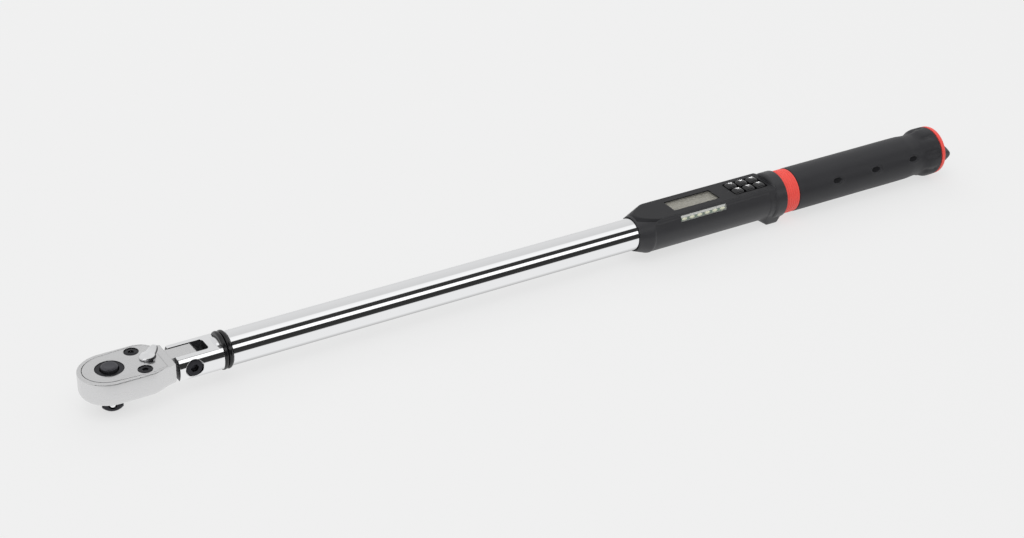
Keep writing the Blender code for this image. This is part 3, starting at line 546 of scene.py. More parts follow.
# Painted shade: a dark surface for walls and gaps on the head, the cover and the yoke where shade
# falls.
PAINTED_SHADE = surface("shadowed_recess", (0.07, 0.07, 0.075), rough=0.4, metal=0.8, grain=(1800, 4),
                 blotch=(150, 0.08, 0.2), edge=0)
BUTTON = surface("button_top", (0.085, 0.085, 0.095), rough=0.36, metal=0.85, grain=(2600, 4),
                 blotch=(260, 0.1, 0.2), scratch=(0.1, 0.5), edge=0.25, wear=0.5,
                 wear_rgb=(0.3, 0.3, 0.31))


# ---- showing pieces ------------------------------------------------------------------
BODY_OF = {node: body for body, held in frame["record"]["behaviour"]["bodies"].items()
           for node in held}


def show(obj, name, look, node=None, angle=32.0, like=None):
    """Names a finished mesh, puts it in the row frame and hangs it on the body of its CAD node.

    node is the CAD node it replaces; like is one it only goes with.
    """
    obj.data.transform(Matrix.Translation((0, 0, AXIS)))
    obj.name = obj.data.name = name
    obj.data.materials.clear()
    obj.data.materials.append(look)
    obj.data.shade_smooth()
    obj.data.set_sharp_from_angle(angle=math.radians(angle))
    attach(obj, BODY_OF[node or like])
    if node:
        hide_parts(node)
    return obj


def darken(obj, look, where):
    """Gives the faces picked by their centre, in millimetres, and normal a second surface; in this
    script that surface is painted shade.
    """
    obj.data.materials.append(look)
    for face in obj.data.polygons:
        c = face.center / MM
        if where(Vector((c.x, c.y, c.z - AXIS / MM)), face.normal):
            face.material_index = 1


# ---- ratchet head ------------------------------------------------------------------------
HEAD_NOSE, HEAD_HALF = 19.3, 18.0  # half axes of the elliptical nose, along X and Y
HEAD_TOP, HEAD_BOTTOM = 9.0, -8.3
SHOULDER_X, NECK_X, NECK_HALF = 20.0, 38.0, 12.2  # the sides narrow between these two places
SCREW_X, SCREW_Y = 18.0, 11.1
PIVOT_X, LEVER_X, PAWL_X = 48.7, 24.0, 16.0
LEVER_TURN, DRIVE_TURN = 40.0, -18.0  # degrees
TANG_R, TANG_HALF = 8.2, 7.2
DRIVE_HALF = 6.35
BALL_R, BALL_Z = 2.4, -13.0
PIVOT, LEVER = (PIVOT_X, 0), (LEVER_X, 0)
CENTRE = (0, 0)


def head_half(x):
    return HEAD_HALF + (NECK_HALF - HEAD_HALF) * smoothstep(SHOULDER_X, NECK_X, x)


def head_outline(inset, x_end, steps=24):
    nose = [((HEAD_NOSE - inset) * math.cos(math.radians(a)),
             (HEAD_HALF - inset) * math.sin(math.radians(a))) for a in range(90, 271, 3)]
    xs = [SHOULDER_X + (x_end - SHOULDER_X) * i / steps for i in range(steps + 1)]
    lower = [(x, -(head_half(x) - inset)) for x in xs]
    return nose + lower + [(x, -y) for x, y in reversed(lower)]


def seam(inset, x_end):
    """The cover's outline: it leaves a wider rim round the nose."""
    out = []
    for x, y in head_outline(inset, x_end):
        k = 1 - 0.075 * fall(2, 18, x)
        out.append((x * k, y * k))
    return out


def slope(start_z, end_z):
    """Cutter that slopes the top down towards the flex joint."""
    return flat("y", -30, 30, round_path([
        (25.4, start_z), (32.2, end_z, 9), (50, 7.3), (50, 14), (25.4, 14)], steps=10))


def screw_rods(radius, low, high, sides=96):
    return [rod("z", (SCREW_X, y), radius, low, high, sides) for y in (SCREW_Y, -SCREW_Y)]


# Head body.
head = flat("z", HEAD_BOTTOM, HEAD_TOP, head_outline(0.0, 46, 30))
rim_bevel(head, "z", HEAD_BOTTOM, 6.5, 12)
rim_bevel(head, "z", HEAD_TOP, 0.8, 5)
head = cut(head, block((36.5, 60), (-30, 30), (-20, 20)), slope(9.15, 7.3),
           flat("y", -30, 30, [(27, -8.45), (50, -14), (50, -7.2), (33, -7.2)]))
tang_turn = math.degrees(math.asin(TANG_HALF / TANG_R))
head = join(head, flat("y", -5.45, 5.45, [
    (33, -7.1)] + arc(*PIVOT, TANG_R, -tang_turn, tang_turn, 48) + [(33, TANG_HALF)]))
pawl_pocket = [(9, -9.1), (14.2, -9.1), (15.6, -8), (19.8, -8),
               (19.8, 8), (15.6, 8), (14.2, 9.1), (9, 9.1)]
head = cut(
    head,
    flat("z", 6.3, 12, seam(1.4, 31.55)),
    rod("z", CENTRE, 13.2, -4.6, 7, 120),
    rod("z", CENTRE, 9.4, -12, -4, 120),
    flat("z", -4.4, 7.1, pawl_pocket),
    flat("z", -4.2, 7.2, [(15, -5.6), (LEVER_X, -5.6), (LEVER_X, 5.6), (15, 5.6)]),
    rod("z", LEVER, 4.3, -4, 7.3),
    *screw_rods(1.95, -4.5, 7.4, 32),
    rod("z", (PAWL_X, 0), 1.5, -7, -4, 32),
    rod("y", PIVOT, 3.5, -9, 9, 64),
    rod("y", PIVOT, 6.7, 4.55, 9),
    rod("y", PIVOT, 6.7, -9, -4.55))
show(head, "ratchet_head", SATIN, "head_body")


def near_rim_wall(c, normal):
    """The inner wall of the cover's seat, on the near side."""
    return (6.2 < c.z < 8.97 and abs(normal.z) < 0.3 and c.x < 11 and c.y < -2
            and normal.x * (c.x - 12) + normal.y * c.y < 0)


# Painted shade in the gap between the cover and the head, on the near side.
darken(head, PAINTED_SHADE, near_rim_wall)


# Cover plate.
def cover_point(x, y):
    """Draws the cover's edge in a little at the nose and on the near side."""
    return x + 0.26 * fall(-14, -4, x), y + 0.32 * fall(-12, -1, y) * fall(8, 17, x)


plate = flat("z", 6.6, HEAD_TOP, [cover_point(x, y) for x, y in seam(1.58, 31.4)],
             circle(*CENTRE, 8.8, 96), circle(*LEVER, 3.4, 64))
rim_bevel(plate, "z", HEAD_TOP, 0.22, 3)
plate = cut(plate, *screw_rods(2.2, 6, 9.5, 32), *screw_rods(4.65, 7.6, 9.6), slope(9.17, 7.32))
show(plate, "ratchet_cover", SATIN, "cover_plate")


def cover_outer_wall(c, normal):
    """The plate's outer wall, on the near side and round the nose."""
    return (c.z < 8.85 and abs(normal.z) < 0.5 and c.x < 12
            and (c.y < -1 or c.x < -8 and c.y < 6) and math.hypot(c.x, c.y) > 13)


# Painted shade on the plate's outer wall, in the gap round the nose and on the near side.
darken(plate, PAINTED_SHADE, cover_outer_wall)

# Cover screws with hexagon sockets.
for side, sign in SIDES_Y:
    at = (SCREW_X, sign * SCREW_Y)
    screw = lathe("z", [(8.85, 0), (8.85, 2.6), (8.72, 3.3, 0.4), (8.25, 4.3, 0.3), (7.9, 4.35),
                        (7.9, 1.7), (-4, 1.7), (-4, 0)], 96, at)
    screw = cut(screw, hexagon("z", at, 2.1, 7.9, 10))
    show(screw, f"cover_screw_{side}_head", BLACK_OXIDE, f"cover_screw_{side}")

# Ratchet gear with the drive square below it. A tooth is (radius, angle after its start).
TOOTH = ((12.6, -0.008), (12.6, 0.008), (11.9, 0.048), (11.9, 0.057))
teeth = [(r * math.cos(a + lag), r * math.sin(a + lag)) for a in turns_of(60) for r, lag in TOOTH]
gear = flat("z", -4.3, 4.5, teeth)
gear = join(gear, lathe("z", [(8.6, 0), (8.6, 8.5, 0.35), (4, 8.5), (4, 0)]),
            lathe("z", [(-4, 0), (-4, 9), (-8, 9, 0.3), (-8, 0)]))
square = flat("z", -19, -8.35, rounded_rect(-DRIVE_HALF, DRIVE_HALF, DRIVE_HALF, 1.0, steps=8))
square = boolean(spun(square, DRIVE_TURN), "INTERSECT", lathe("z", [
    (-5, 0), (-5, 9.3), (-12.6, 9.3, 2), (-13.8, 8.6, 2), (-15.3, 7.7, 2), (-16.7, 6.5, 2),
    (-17.6, 5.5, 1), (-18, 4.7, 0.4), (-18, 0)]))
gear = join(gear, square, rod("z", CENTRE, 6.1, -8.6, -7.5, 128))
gear = cut(
    gear,
    lathe("z", [(12, 0), (12, 5.9), (8.3, 5.9), (7.9, 5.5), (1, 5.5), (1, 0)], 96),
    rod("z", CENTRE, 4.5, -0.9, 2, 64),
    rod("z", CENTRE, 2.25, -17, 2, 48),
    spun(rod("y", (0, BALL_Z), 2.6, -12, 0, 64), DRIVE_TURN))
show(gear, "drive_square", BLACK_OXIDE, "drive_gear")

# Quick-release button, its spring and the ball in the drive square.
button = lathe("z", [
    (10.95, 0), (11, 2.6), (11.1, 3.7, 0.3), (10.9, 4.5, 0.3), (10.2, 5.1, 0.4), (7.2, 5.15, 0.2),
    (7.2, 1.9), (-9.7, 1.9), (-10, 1.1), (-12, 1.1), (-12.3, 1.9), (-14.8, 1.9), (-14.8, 0)], 96)
show(button, "quick_release_button", BUTTON, "release_button")
spring = helix("z", 3.6, 1.75, 6.45, turns=3.5, wire=0.4)
show(spring, "button_spring", WIRE, "release_spring")
show(spun(ellipsoid((0, -4.55, BALL_Z), (BALL_R,) * 3, 4), DRIVE_TURN),
     "locking_ball", CHROME, "detent_ball")

# Direction lever: a hub with a fin. Columns: x from the hub, half width, bottom, top.
FIN = [
    (-3.4, 0.4, 9.9, 10.1), (-2.6, 1.9, 9.6, 10.55), (-1, 3, 9.45, 10.8), (1, 3.5, 9.4, 10.9),
    (3, 3.55, 9.4, 10.95), (5, 3.35, 9.4, 11.15), (7, 2.95, 9.4, 11.75), (8.4, 2.5, 9.4, 12.35),
    (9.3, 2, 9.55, 12.5), (9.85, 1.4, 10, 12.2), (10.05, 0.5, 10.8, 11.6)]
rows = []
for i in range(61):
    x = -3.4 + 13.45 * i / 60
    half, low, high = curve_through(FIN, min(x, 10.049))
    rows.append([(LEVER_X + x, half * squarish(math.cos(a), 0.55),
                  (low + high) / 2 + (high - low) / 2 * squarish(math.sin(a), 0.55))
                 for a in turns_of(40)])
lever = lathe("z", [(10.9, 0), (10.9, 4.4, 0.5), (10.2, 5.1, 0.5), (9.35, 5.1, 0.2), (9.35, 3.05),
                    (5.9, 3.05), (5.9, 3.6), (-3.5, 3.6), (-3.5, 0)], 96, LEVER)
lever = join(lever, spun(skin(rows), LEVER_TURN, LEVER_X))
plunger_bore = rod("x", (0, 0.8), 1.45, LEVER_X - 5, LEVER_X + 2.6, 32)
lever = cut(lever, spun(plunger_bore, LEVER_TURN, LEVER_X))
show(lever, "direction_lever", POLISHED, "reversing_lever")

# ---- flex joint --------------------------------------------------------------------------
YOKE_R, YOKE_FLAT, YOKE_X0 = 12.0, 7.4, 39.0

# Yoke: a round bar with flats above and below, slotted for the head's tang.
flat_turn = math.degrees(math.asin(YOKE_FLAT / YOKE_R))
yoke = flat("x", YOKE_X0, 68, arc(0, 0, YOKE_R, -flat_turn, flat_turn, 40)
            + arc(0, 0, YOKE_R, 180 - flat_turn, 180 + flat_turn, 40))
rim_bevel(yoke, "x", YOKE_X0, 0.6, 3)
yoke = join(yoke, rod("x", CENTRE, 9.2, 66, 98))
tang_slot = round_path([(30, -5.75), (61, -5.75, 2.2), (61, 5.75, 2.2), (30, 5.75)], steps=10)
bolt_seat = [(-8.3, 0), (-8.3, 5.75), (-11.6, 5.75), (-12.4, 6.3), (-15, 6.3), (-15, 0)]
yoke = cut(
    yoke,
    block((36, 60), (5, 6.3), (6.5, 9)),
    flat("z", -12, 12, tang_slot),
    rod("y", PIVOT, 3.4, -15, 15, 64),
    lathe("y", bolt_seat, 96, PIVOT),
    rod("y", PIVOT, 5.5, 8.3, 15),
    rod("x", CENTRE, 3.4, 58, 73.4, 64),
    rod("x", CENTRE, 5.2, 76.6, 99, 64))
show(yoke, "flex_yoke", CHROME, "yoke")


def yoke_inside(c, normal):
    """The slot's walls and the front ends of the two arms."""
    steep = abs(normal.z) < 0.5 or 6.4 < c.z < 6.6 and c.y > 5
    wall = normal.y * c.y < -0.5 or normal.x < -0.1 and c.x > 50 or normal.z > 0.5
    in_slot = abs(c.y) < 6.35 and 38.5 < c.x < 62 and wall
    return steep and (in_slot or normal.x < -0.3 and c.x < 39.7)


# Painted shade in the tang slot and on the arms' front ends, where the gap to the head lies in
# shadow.
darken(yoke, PAINTED_SHADE, yoke_inside)

# Pivot bolt, nut and washers.
bolt = lathe("y", [
    (10.9, 0), (10.9, 2.7), (10.5, 3.1), (-8.6, 3.1), (-8.6, 5.4), (-10.7, 5.4, 0.3),
    (-11.25, 4.85, 0.3), (-11.3, 3.4), (-11.3, 0)], 96, PIVOT)
show(cut(bolt, hexagon("y", PIVOT, 2.75, -14, -9)), "flex_bolt", BLACK_OXIDE, "pivot_bolt")
nut = lathe("y", [(8.6, 3.4), (8.6, 5.1), (10.9, 5.1, 0.3), (11.2, 4.8, 0.2), (11.2, 3.4)],
            96, PIVOT)
nut = cut(nut, *[rod("y", (PIVOT_X + 4.25 * math.cos(a), 4.25 * math.sin(a)), 0.55, 10.2, 12, 24)
                 for a in (0.4, 0.4 + math.pi)])
show(nut, "flex_nut", BLACK_OXIDE, "pivot_nut")
for side, low in (("near", -5.45), ("far", 4.85)):
    washer = lathe("y", [(low + 0.6, 3.5), (low + 0.6, 6.3, 0.12), (low, 6.3, 0.12), (low, 3.5)],
                   96, PIVOT)
    show(washer, f"thrust_washer_{side}", STEEL, f"flex_washer_{side}")

# Detent plunger and spring behind the tang.
plunger = lathe("x", [(65.5, 0), (65.5, 3.1, 0.2), (58.8, 3.1, 1), (57.9, 2.5, 1), (57.4, 1.4, 0.5),
                      (57.3, 0)], 64)
show(plunger, "flex_detent_plunger", STEEL, "flex_plunger")
spring = helix("x", 2.3, 66.3, 72.7, turns=4, wire=0.4)
show(spring, "flex_detent_spring", WIRE, "flex_spring")

# Two rubber rings round the neck.
for end, x in (("front", 68.25), ("rear", 71.25)):
    seal = lathe("x", [(x + 2.75, 9.5), (x + 2.75, 12.15, 1.3), (x, 12.15, 1.3), (x, 9.5)],
                 160, steps=12)
    show(seal, f"neck_ring_{end}", SEAL, f"neck_seal_{end}")

# ---- tube ---------------------------------------------------------------------------------
tube = lathe("x", [(TUBE_X1, 9.5), (TUBE_X1, TUBE_R, 0.3), (TUBE_X0, TUBE_R, 0.5),
                   (TUBE_X0, 9.5)], 256)
tube = cut(tube, block((388, 486), (-14, 14), (3, 14)))
show(tube, "chrome_tube", CHROME, "main_tube")

# ---- electronics housing ------------------------------------------------------------------
HOUSING_X0, HOUSING_X1 = span("housing_body")[0][0], span("housing_body")[1][0]
HOUSING_R = 15.3
DECK_TOP = span("deck_cover")[1][2]
DECK_X1 = span("deck_cover")[1][0]
DECK_HALF, DECK_FLOOR = 11.88, 11.5
BORE_R = 11.35  # inside radius of the housing, the grip and the front trim ring
CASE_SCREWS = (("front", 382.0), ("rear", 462.0))
LIGHT_SLOT = (400.9, 438.5)
LIGHT_PART = (401.5, 437.9)
EMITTER_X, EMITTER_PITCH = 404.0, 6.3


def limit(x):
    """The largest radius the housing reaches at x: chamfered in front, rounded at the rear."""
    front = 12 + 0.374 * (x - HOUSING_X0)
    rear = 16.2 + 0.95 * max(481.6 - x, 0)
    return min(front, rear, 20.5)


def soft_min(a, b, blend):
    h = min(max(0.5 + 0.5 * (b - a) / blend, 0.0), 1.0)
    return b * (1 - h) + a * h - blend * h * (1 - h)


def flank(z):
    """Half width of the housing above the axis."""
    return HOUSING_R - 0.0342 * z * z + 0.00095 * z ** 3


half_section = [(11.5, DECK_TOP - 0.02), (12.3, DECK_TOP - 0.02, 0.5), (12.45, 11.25)]
half_section += [(flank(z), z) for z in (10.6, 9.8, 9, 8, 7, 6, 5, 4, 3, 2, 1)]
half_section += [(HOUSING_R * math.cos(math.radians(a)), HOUSING_R * math.sin(math.radians(a)))
                 for a in range(0, -91, -5)]
mirrored = [(-p[0], p[1], *p[2:]) for p in reversed(half_section[:-1])]
section = resample(round_path(half_section + mirrored, steps=4), 300)


def housing_ring(x):
    """The section at x: its sides are inset along the middle, its underside flattens at the rear."""
    top = limit(x)
    inset = 0.42 * smoothstep(379.2, 380.4, x) * fall(475.4, 476.8, x)
    foot = smoothstep(472.2, 479.2, x) * (1 - 0.78 * smoothstep(486.6, 489.9, x))
    ring = []
    for y, z in section:
        old = math.hypot(y, z)
        new = soft_min(old, top, 0.35) if old > top - 2 else old
        new -= inset * (smoothstep(-14.6, -11.5, z) * fall(9.2, 10.6, z))
        y, z = y * new / old, z * new / old
        if z < -5:
            z += (-17.98 - z) * foot * fall(8.3, 12.6, abs(y)) * smoothstep(-5, -9, z)
        ring.append((x, y, z))
    return ring


# Shell: close stations at both ends, wide ones between.
stations = [HOUSING_X0, HOUSING_X0 + 0.1] + [HOUSING_X0 + 0.4 + 0.6 * i for i in range(24)]
stations += [stations[-1] + (468 - stations[-1]) * i / 34 for i in range(1, 35)]
stations += [468 + (HOUSING_X1 - 0.2 - 468) * i / 56 for i in range(1, 57)]
shell = skin([housing_ring(x) for x in stations])
deck_starts = [HOUSING_X0 + 1.2 + 0.1 * i for i in range(200)]
deck_front = min(x for x in deck_starts if limit(x) > 12.35)
shell = cut(shell, block((deck_front - 0.04, 480.1), (-11.93, 11.93), (11.45, 20)),
            block((386.5, 479.6), (-10.3, 10.3), (5.6, 16)))
shell = join(shell, lathe("x", [
    (HOUSING_X1, 10), (HOUSING_X1, 16.1, 0.35), (489.2, 16.5, 0.3), (482.2, 16.5, 0.6),
    (481, 16.1, 0.5), (480.3, 14.9), (480.3, 10)], 240))
shell = cut(
    shell,
    rod("x", CENTRE, BORE_R, 340, 520, 160),
    *[block(LIGHT_SLOT, y, (6.95, 11.2)) for y in ((-17, -8), (8, 17))],
    *[rod("z", (x, 0), 1.7, -20, -8, 48) for _, x in CASE_SCREWS],
    *[rod("z", (x, 0), 3.3, -20, -13.6, 64) for _, x in CASE_SCREWS])
show(shell, "housing_shell", PLASTIC, "housing_body", angle=38)

# Deck: the flat top, clipped to the round front of the housing.
deck_outline = resample(round_path([
    (DECK_HALF, DECK_FLOOR, 0.1), (DECK_HALF, DECK_TOP, 0.22),
    (-DECK_HALF, DECK_TOP, 0.22), (-DECK_HALF, DECK_FLOOR, 0.1)], steps=8), 600)


def deck_ring(x):
    top = limit(x) + 0.01
    reach = math.sqrt(max(top * top - DECK_FLOOR * DECK_FLOOR, 0.01))
    kept = []
    for y, z in deck_outline:
        old = math.hypot(y, z)
        if old > top - 1:
            new = soft_min(old, top, 0.3)
            y, z = y * new / old, z * new / old
        if z < DECK_FLOOR:
            y, z = math.copysign(min(abs(y), reach), y), DECK_FLOOR
        if not kept or math.hypot(y - kept[-1][0], z - kept[-1][1]) > 1e-4:
            kept.append((y, z))
    return [(x, y, z) for y, z in resample(kept, 240)]


stations = [deck_front + (400 - deck_front) * i / 46 for i in range(47)]
stations += [400 + 2.5 * i for i in range(1, 31)]
stations += [475 + (DECK_X1 - 475) * i / 6 for i in range(1, 7)]
deck = skin([deck_ring(x) for x in stations])
LCD0, LCD1 = span("lcd_window")
KEYS = [f"key_{row}_{side}" for row in ("front", "middle", "rear") for side in ("near", "far")]
keys_x0 = min(span(key)[0][0] for key in KEYS) - 0.85
keys_x1 = max(span(key)[1][0] for key in KEYS) + 0.85
keys_half = max(span(key)[1][1] for key in KEYS) + 0.45
deck = cut(deck,
           flat("z", 9, 16, rounded_rect(LCD0[0] - 0.1, LCD1[0] + 0.1, LCD1[1] + 0.1, 0.6)),
           flat("z", 9, 16, rounded_rect(keys_x0, keys_x1, keys_half, 1.6)))
# The deck wears the darker copy of the housing plastic: painted shade on the top.
show(deck, "housing_deck", SHADED_DECK, "deck_cover", angle=38)

# Display.
window = block((LCD0[0] + 0.05, LCD1[0] - 0.05), (LCD0[1] + 0.05, LCD1[1] - 0.05),
               (11.6, 12.45), edge=0.15)
show(window, "display_cover", WINDOW, "lcd_window")
panel = block((398.6, 438.6), (-8.2, 8.2), (9.2, 11.1), edge=0.2)
show(panel, "display_panel", DISPLAY, "lcd_panel")


# Keys: domed caps with squarish outlines.
def key_cap(low, high):
    x, y = (low[0] + high[0]) / 2, (low[1] + high[1]) / 2
    half_x, half_y = (high[0] - low[0]) / 2 - 0.05, (high[1] - low[1]) / 2 - 0.05
    rows = [[(x, y, high[2])]]
    for i in range(1, 25):
        spread = math.sin(i / 24 * math.pi / 2) ** 0.72
        dome = 1 - max(1 - spread ** 3.2, 0.0) ** 0.5
        z = high[2] - 2.3 * dome - 0.22 * spread ** 2
        rows.append([(x + half_x * spread * squarish(math.cos(a), 0.52),
                      y + half_y * spread * squarish(math.sin(a), 0.52), z)
                     for a in turns_of(72)])
    rows.append([(u, v, low[2]) for u, v, _ in rows[-1]])
    return skin(rows)


for key in KEYS:
    show(key_cap(*span(key)), key + "_cap", KEY, key, angle=50)
mat = block((447, 480), (-9.2, 9.2), (8.8, 9.55), edge=0.1)
show(mat, "keypad_mat", DARK, "keypad_sheet")

# Side lights. Outlines are (distance from the middle plane, z[, corner radius]).
LENS_OUTLINE = [(12.35, 11.05, 0.15), (13.35, 9.1), (13.85, 7.2, 0.15), (11.9, 7.2), (10.6, 11.1)]
PIPE_OUTLINE = [(11.75, 11), (12.45, 9.3), (11.6, 9.15), (10.9, 11)]
BACKING_OUTLINE = [(12, 9.1), (12.75, 7.2), (12.3, 7.2), (11.6, 9.1)]


def on_side(sign, outline):
    return round_path([(sign * p[0], *p[1:]) for p in outline], steps=4)


for side, sign in SIDES_Y:
    strip_node = f"led_strip_{side}"
    show(flat("x", 401.15, 438.25, on_side(sign, LENS_OUTLINE)),
         f"light_lens_{side}", LENS, f"light_window_{side}")
    bar = block((402, 437.8), sorted((sign * 8.7, sign * 9.6)), (7, 10.6), edge=0.12)
    show(bar, f"light_board_{side}", BOARD, strip_node)
    show(flat("x", *LIGHT_PART, on_side(sign, PIPE_OUTLINE)),
         f"light_pipe_{side}", LIGHT_BAR, like=strip_node)
    show(flat("x", *LIGHT_PART, on_side(sign, BACKING_OUTLINE)),
         f"light_backing_{side}", BOARD, like=strip_node)
    for i in range(6):
        emitter = ellipsoid((EMITTER_X + EMITTER_PITCH * i, sign * 12.6, 8.35), (2.2, 0.6, 1.0), 3)
        show(emitter, f"light_emitter_{side}_{i + 1}", LED, like=strip_node)

# Screws in the underside.
for end, x in CASE_SCREWS:
    screw = lathe("z", [(-9.7, 0), (-9.7, 1.4), (-13.9, 1.4), (-13.9, 2.9), (-14.9, 2.9, 0.4),
                        (-15.2, 2.2, 0.3), (-15.3, 0)], 64, (x, 0))
    screw = cut(screw, hexagon("z", (x, 0), 1.4, -17, -14.4))
    show(screw, f"case_screw_{end}", STEEL, f"housing_screw_{end}")

# ---- handle -----------------------------------------------------------------------------------
(RING_X0, _, _), (RING_X1, _, RING_R) = span("trim_ring_front")
(GRIP_X0, _, _), (GRIP_X1, _, FLARE) = span("grip_sleeve")
GROOVES = 5
GRIP_R = 15.5
DIMPLE_XS = (535.0, 570.0, 604.5)
DIMPLE_TURN = math.radians(20.5)  # above the level plane, on both sides
DIMPLE_LONG, DIMPLE_WIDE = 3.6, 1.9
SCOOPS = 8

# Grooved ring in front of the grip.
ring = [(RING_X1, BORE_R), (RING_X1, RING_R - 0.05, 0.3)]
pitch = (RING_X1 - RING_X0 - 1.6) / GROOVES
for i in range(GROOVES):
    mid = RING_X1 - 0.8 - pitch * (i + 0.5)
    ring += [(mid + 0.42, RING_R, 0.15), (mid + 0.12, RING_R - 0.32, 0.1),
             (mid - 0.12, RING_R - 0.32, 0.1), (mid - 0.42, RING_R, 0.15)]
ring += [(RING_X0, RING_R - 0.25, 0.4), (RING_X0, BORE_R)]
show(lathe("x", ring, 192, steps=4), "handle_ring_front", RED, "trim_ring_front")

# Grip. Columns: x, radius.
GRIP = [
    (GRIP_X0 - 2, 15.42), (GRIP_X0 + 2, GRIP_R), (560, GRIP_R), (603, GRIP_R), (609, 15.02),
    (613.5, 14.9), (615.5, 15.3), (617.2, 16.15), (619.2, 17.05), (621.5, FLARE - 0.1),
    (624, FLARE), (627, FLARE - 0.06), (GRIP_X1, FLARE - 0.15), (GRIP_X1 + 3, FLARE - 0.3)]


def edge_drop(radius, inside):
    """How far a rounded end edge lies below the surface, at a distance inside the end."""
    if inside >= radius:
        return 0.0
    return radius - math.sqrt(max(radius ** 2 - (radius - inside) ** 2, 0.0))


def grip_radius(x, a):
    r = curve_through(GRIP, x)[0]
    for sign in (-1.0, 1.0):
        here = math.atan2(math.sin(a), sign * math.cos(a))
        for dimple_x in DIMPLE_XS:
            u = (x - dimple_x) / DIMPLE_LONG
            v = (here - DIMPLE_TURN) * GRIP_R / DIMPLE_WIDE
            d = u * u + v * v
            if d < 9:
                r += -1.7 * math.exp(-d * d * 0.75)
                r += 0.18 * math.exp(-((math.sqrt(d) - 1.55) ** 2) * 6)
    scoop = smoothstep(614.5, 618.5, x) * fall(625, 628.2, x)
    r -= 1.15 * scoop * (0.5 + 0.5 * math.cos(SCOOPS * (a + 0.35))) ** 3
    return r - edge_drop(0.6, x - GRIP_X0) - edge_drop(0.5, GRIP_X1 - x)


def in_dimple(c, _normal):
    """True on the floor of one of the six small dimples."""
    here = min(abs(math.atan2(c.z, sign * c.y) - DIMPLE_TURN) for sign in (-1.0, 1.0))
    v = here * GRIP_R / DIMPLE_WIDE
    return (any((c.x - x) ** 2 / DIMPLE_LONG ** 2 + v * v < 1 for x in DIMPLE_XS)
            and math.hypot(c.y, c.z) > 12.5)


def ring_round(x, radius_at):
    return [(x, radius_at(x, a) * math.cos(a), radius_at(x, a) * math.sin(a))
            for a in turns_of(320)]


def grip_bore(_x, _a):
    return BORE_R


stations = [GRIP_X0 + 0.6 * (1 - math.cos(math.pi / 2 * i / 5)) for i in range(6)]
stations += [GRIP_X0 + 0.6 + (GRIP_X1 - 0.5 - GRIP_X0 - 0.6) * i / 230 for i in range(1, 231)]
stations += [GRIP_X1 - 0.5 + 0.5 * math.sin(math.pi / 2 * i / 5) for i in range(1, 6)]
rows = [ring_round(GRIP_X0, grip_bore)]
rows += [ring_round(x, grip_radius) for x in stations]
rows += [ring_round(GRIP_X1, grip_bore)]
grip = show(skin(rows, loop=True), "handle_grip", RUBBER, "grip_sleeve", angle=45)
# The dimple floors get painted shade.
darken(grip, PIT_SHADE, in_dimple)

# Ring behind the grip.
ring = lathe("x", [(632.8, 14.75), (632.8, 16.9, 0.3), (631.6, 17.3, 0.8), (629.6, 17.45, 0.3),
                   (629.6, 14.75)], 192)
show(ring, "handle_ring_rear", RED, "trim_ring_rear")

# End cap: a threaded plug with a flat bar across its rear.
THREAD_X0, THREAD_X1, THREAD_PITCH, THREAD_DEPTH = 608.8, 624.2, 2.0, 0.55


def thread(x, a):
    if not THREAD_X0 < x < THREAD_X1:
        return 0.0
    phase = (x / THREAD_PITCH - a / (2 * math.pi)) % 1.0
    fade = smoothstep(THREAD_X0, 610, x) * fall(623.4, THREAD_X1, x)
    return -THREAD_DEPTH * (0.5 + 0.5 * math.cos(2 * math.pi * phase)) * fade


plug = [(634.6, 0), (634.6, 12.5, 3), (634, 15.2, 1.5), (633.1, 16.5, 0.4), (633.1, 14.4),
        (629.3, 14.4, 0.2), (629.3, 9.2)]
plug += [(624.4 - 0.16 * i, 9.2) for i in range(99)] + [(608, 9, 0.3), (608, 0)]
cap = lathe("x", plug, 144, steps=8, wave=thread)
# Columns: x, half width, half height; the bar is drawn a little larger than the table.
BAR = [(633.9, 15, 9.6), (634.6, 14.75, 8.4), (636, 14.35, 7.3), (637.5, 14, 6.2),
       (639, 13.6, 4.85), (640, 13.2, 3.7), (640.8, 12.6, 2.45), (641.2, 11.2, 1.2)]
rows = []
for i in range(41):
    x = 633.9 + 7.3 * math.sin(math.pi / 2 * i / 40)
    half_y, half_z = curve_through(BAR, min(x, 641.199))
    rows.append([(x, (half_y + 0.2) * squarish(math.cos(a), 0.74),
                  (half_z + 0.35) * squarish(math.sin(a), 0.74)) for a in turns_of(160)])
show(join(cap, skin(rows)), "end_cap", PLASTIC, "battery_cap", angle=40)
seal = lathe("x", [(626.9, 9.5), (626.9, 11.05, 1.1), (624.5, 11.05, 1.1), (624.5, 9.5)], steps=10)
show(seal, "end_cap_seal", SEAL, "cap_o_ring")
spring = helix("x", 5.6, 607.3, 601.6, turns=3.5, wire=0.45, end_radius=2.6)
show(spring, "battery_spring", WIRE, "cap_spring")

# ---- CAD nodes that stay: steel, apart from these ------------------------------------------
STAY = {"lever_spring": WIRE, "strain_gauge_top": BRASS, "strain_gauge_bottom": BRASS,
        "gauge_cable": SEAL, "circuit_board": BOARD, "buzzer": DARK, "battery_sleeve": DARK,
        "battery_contact": BRASS, "battery_front": CELL, "battery_rear": CELL,
        "vibration_weight": BRASS}
for node, obj in frame["nodes"].items():
    if not obj.hide_render:
        obj.data.materials.clear()
        obj.data.materials.append(STAY.get(node, STEEL))

# ---- studio ------------------------------------------------------------------------------------
scene = bpy.context.scene
scene.view_settings.view_transform = "Standard"
scene.view_settings.look = "None"
scene.view_settings.exposure = 0.0

BACKDROP = (0.853, 0.853, 0.853, 1)
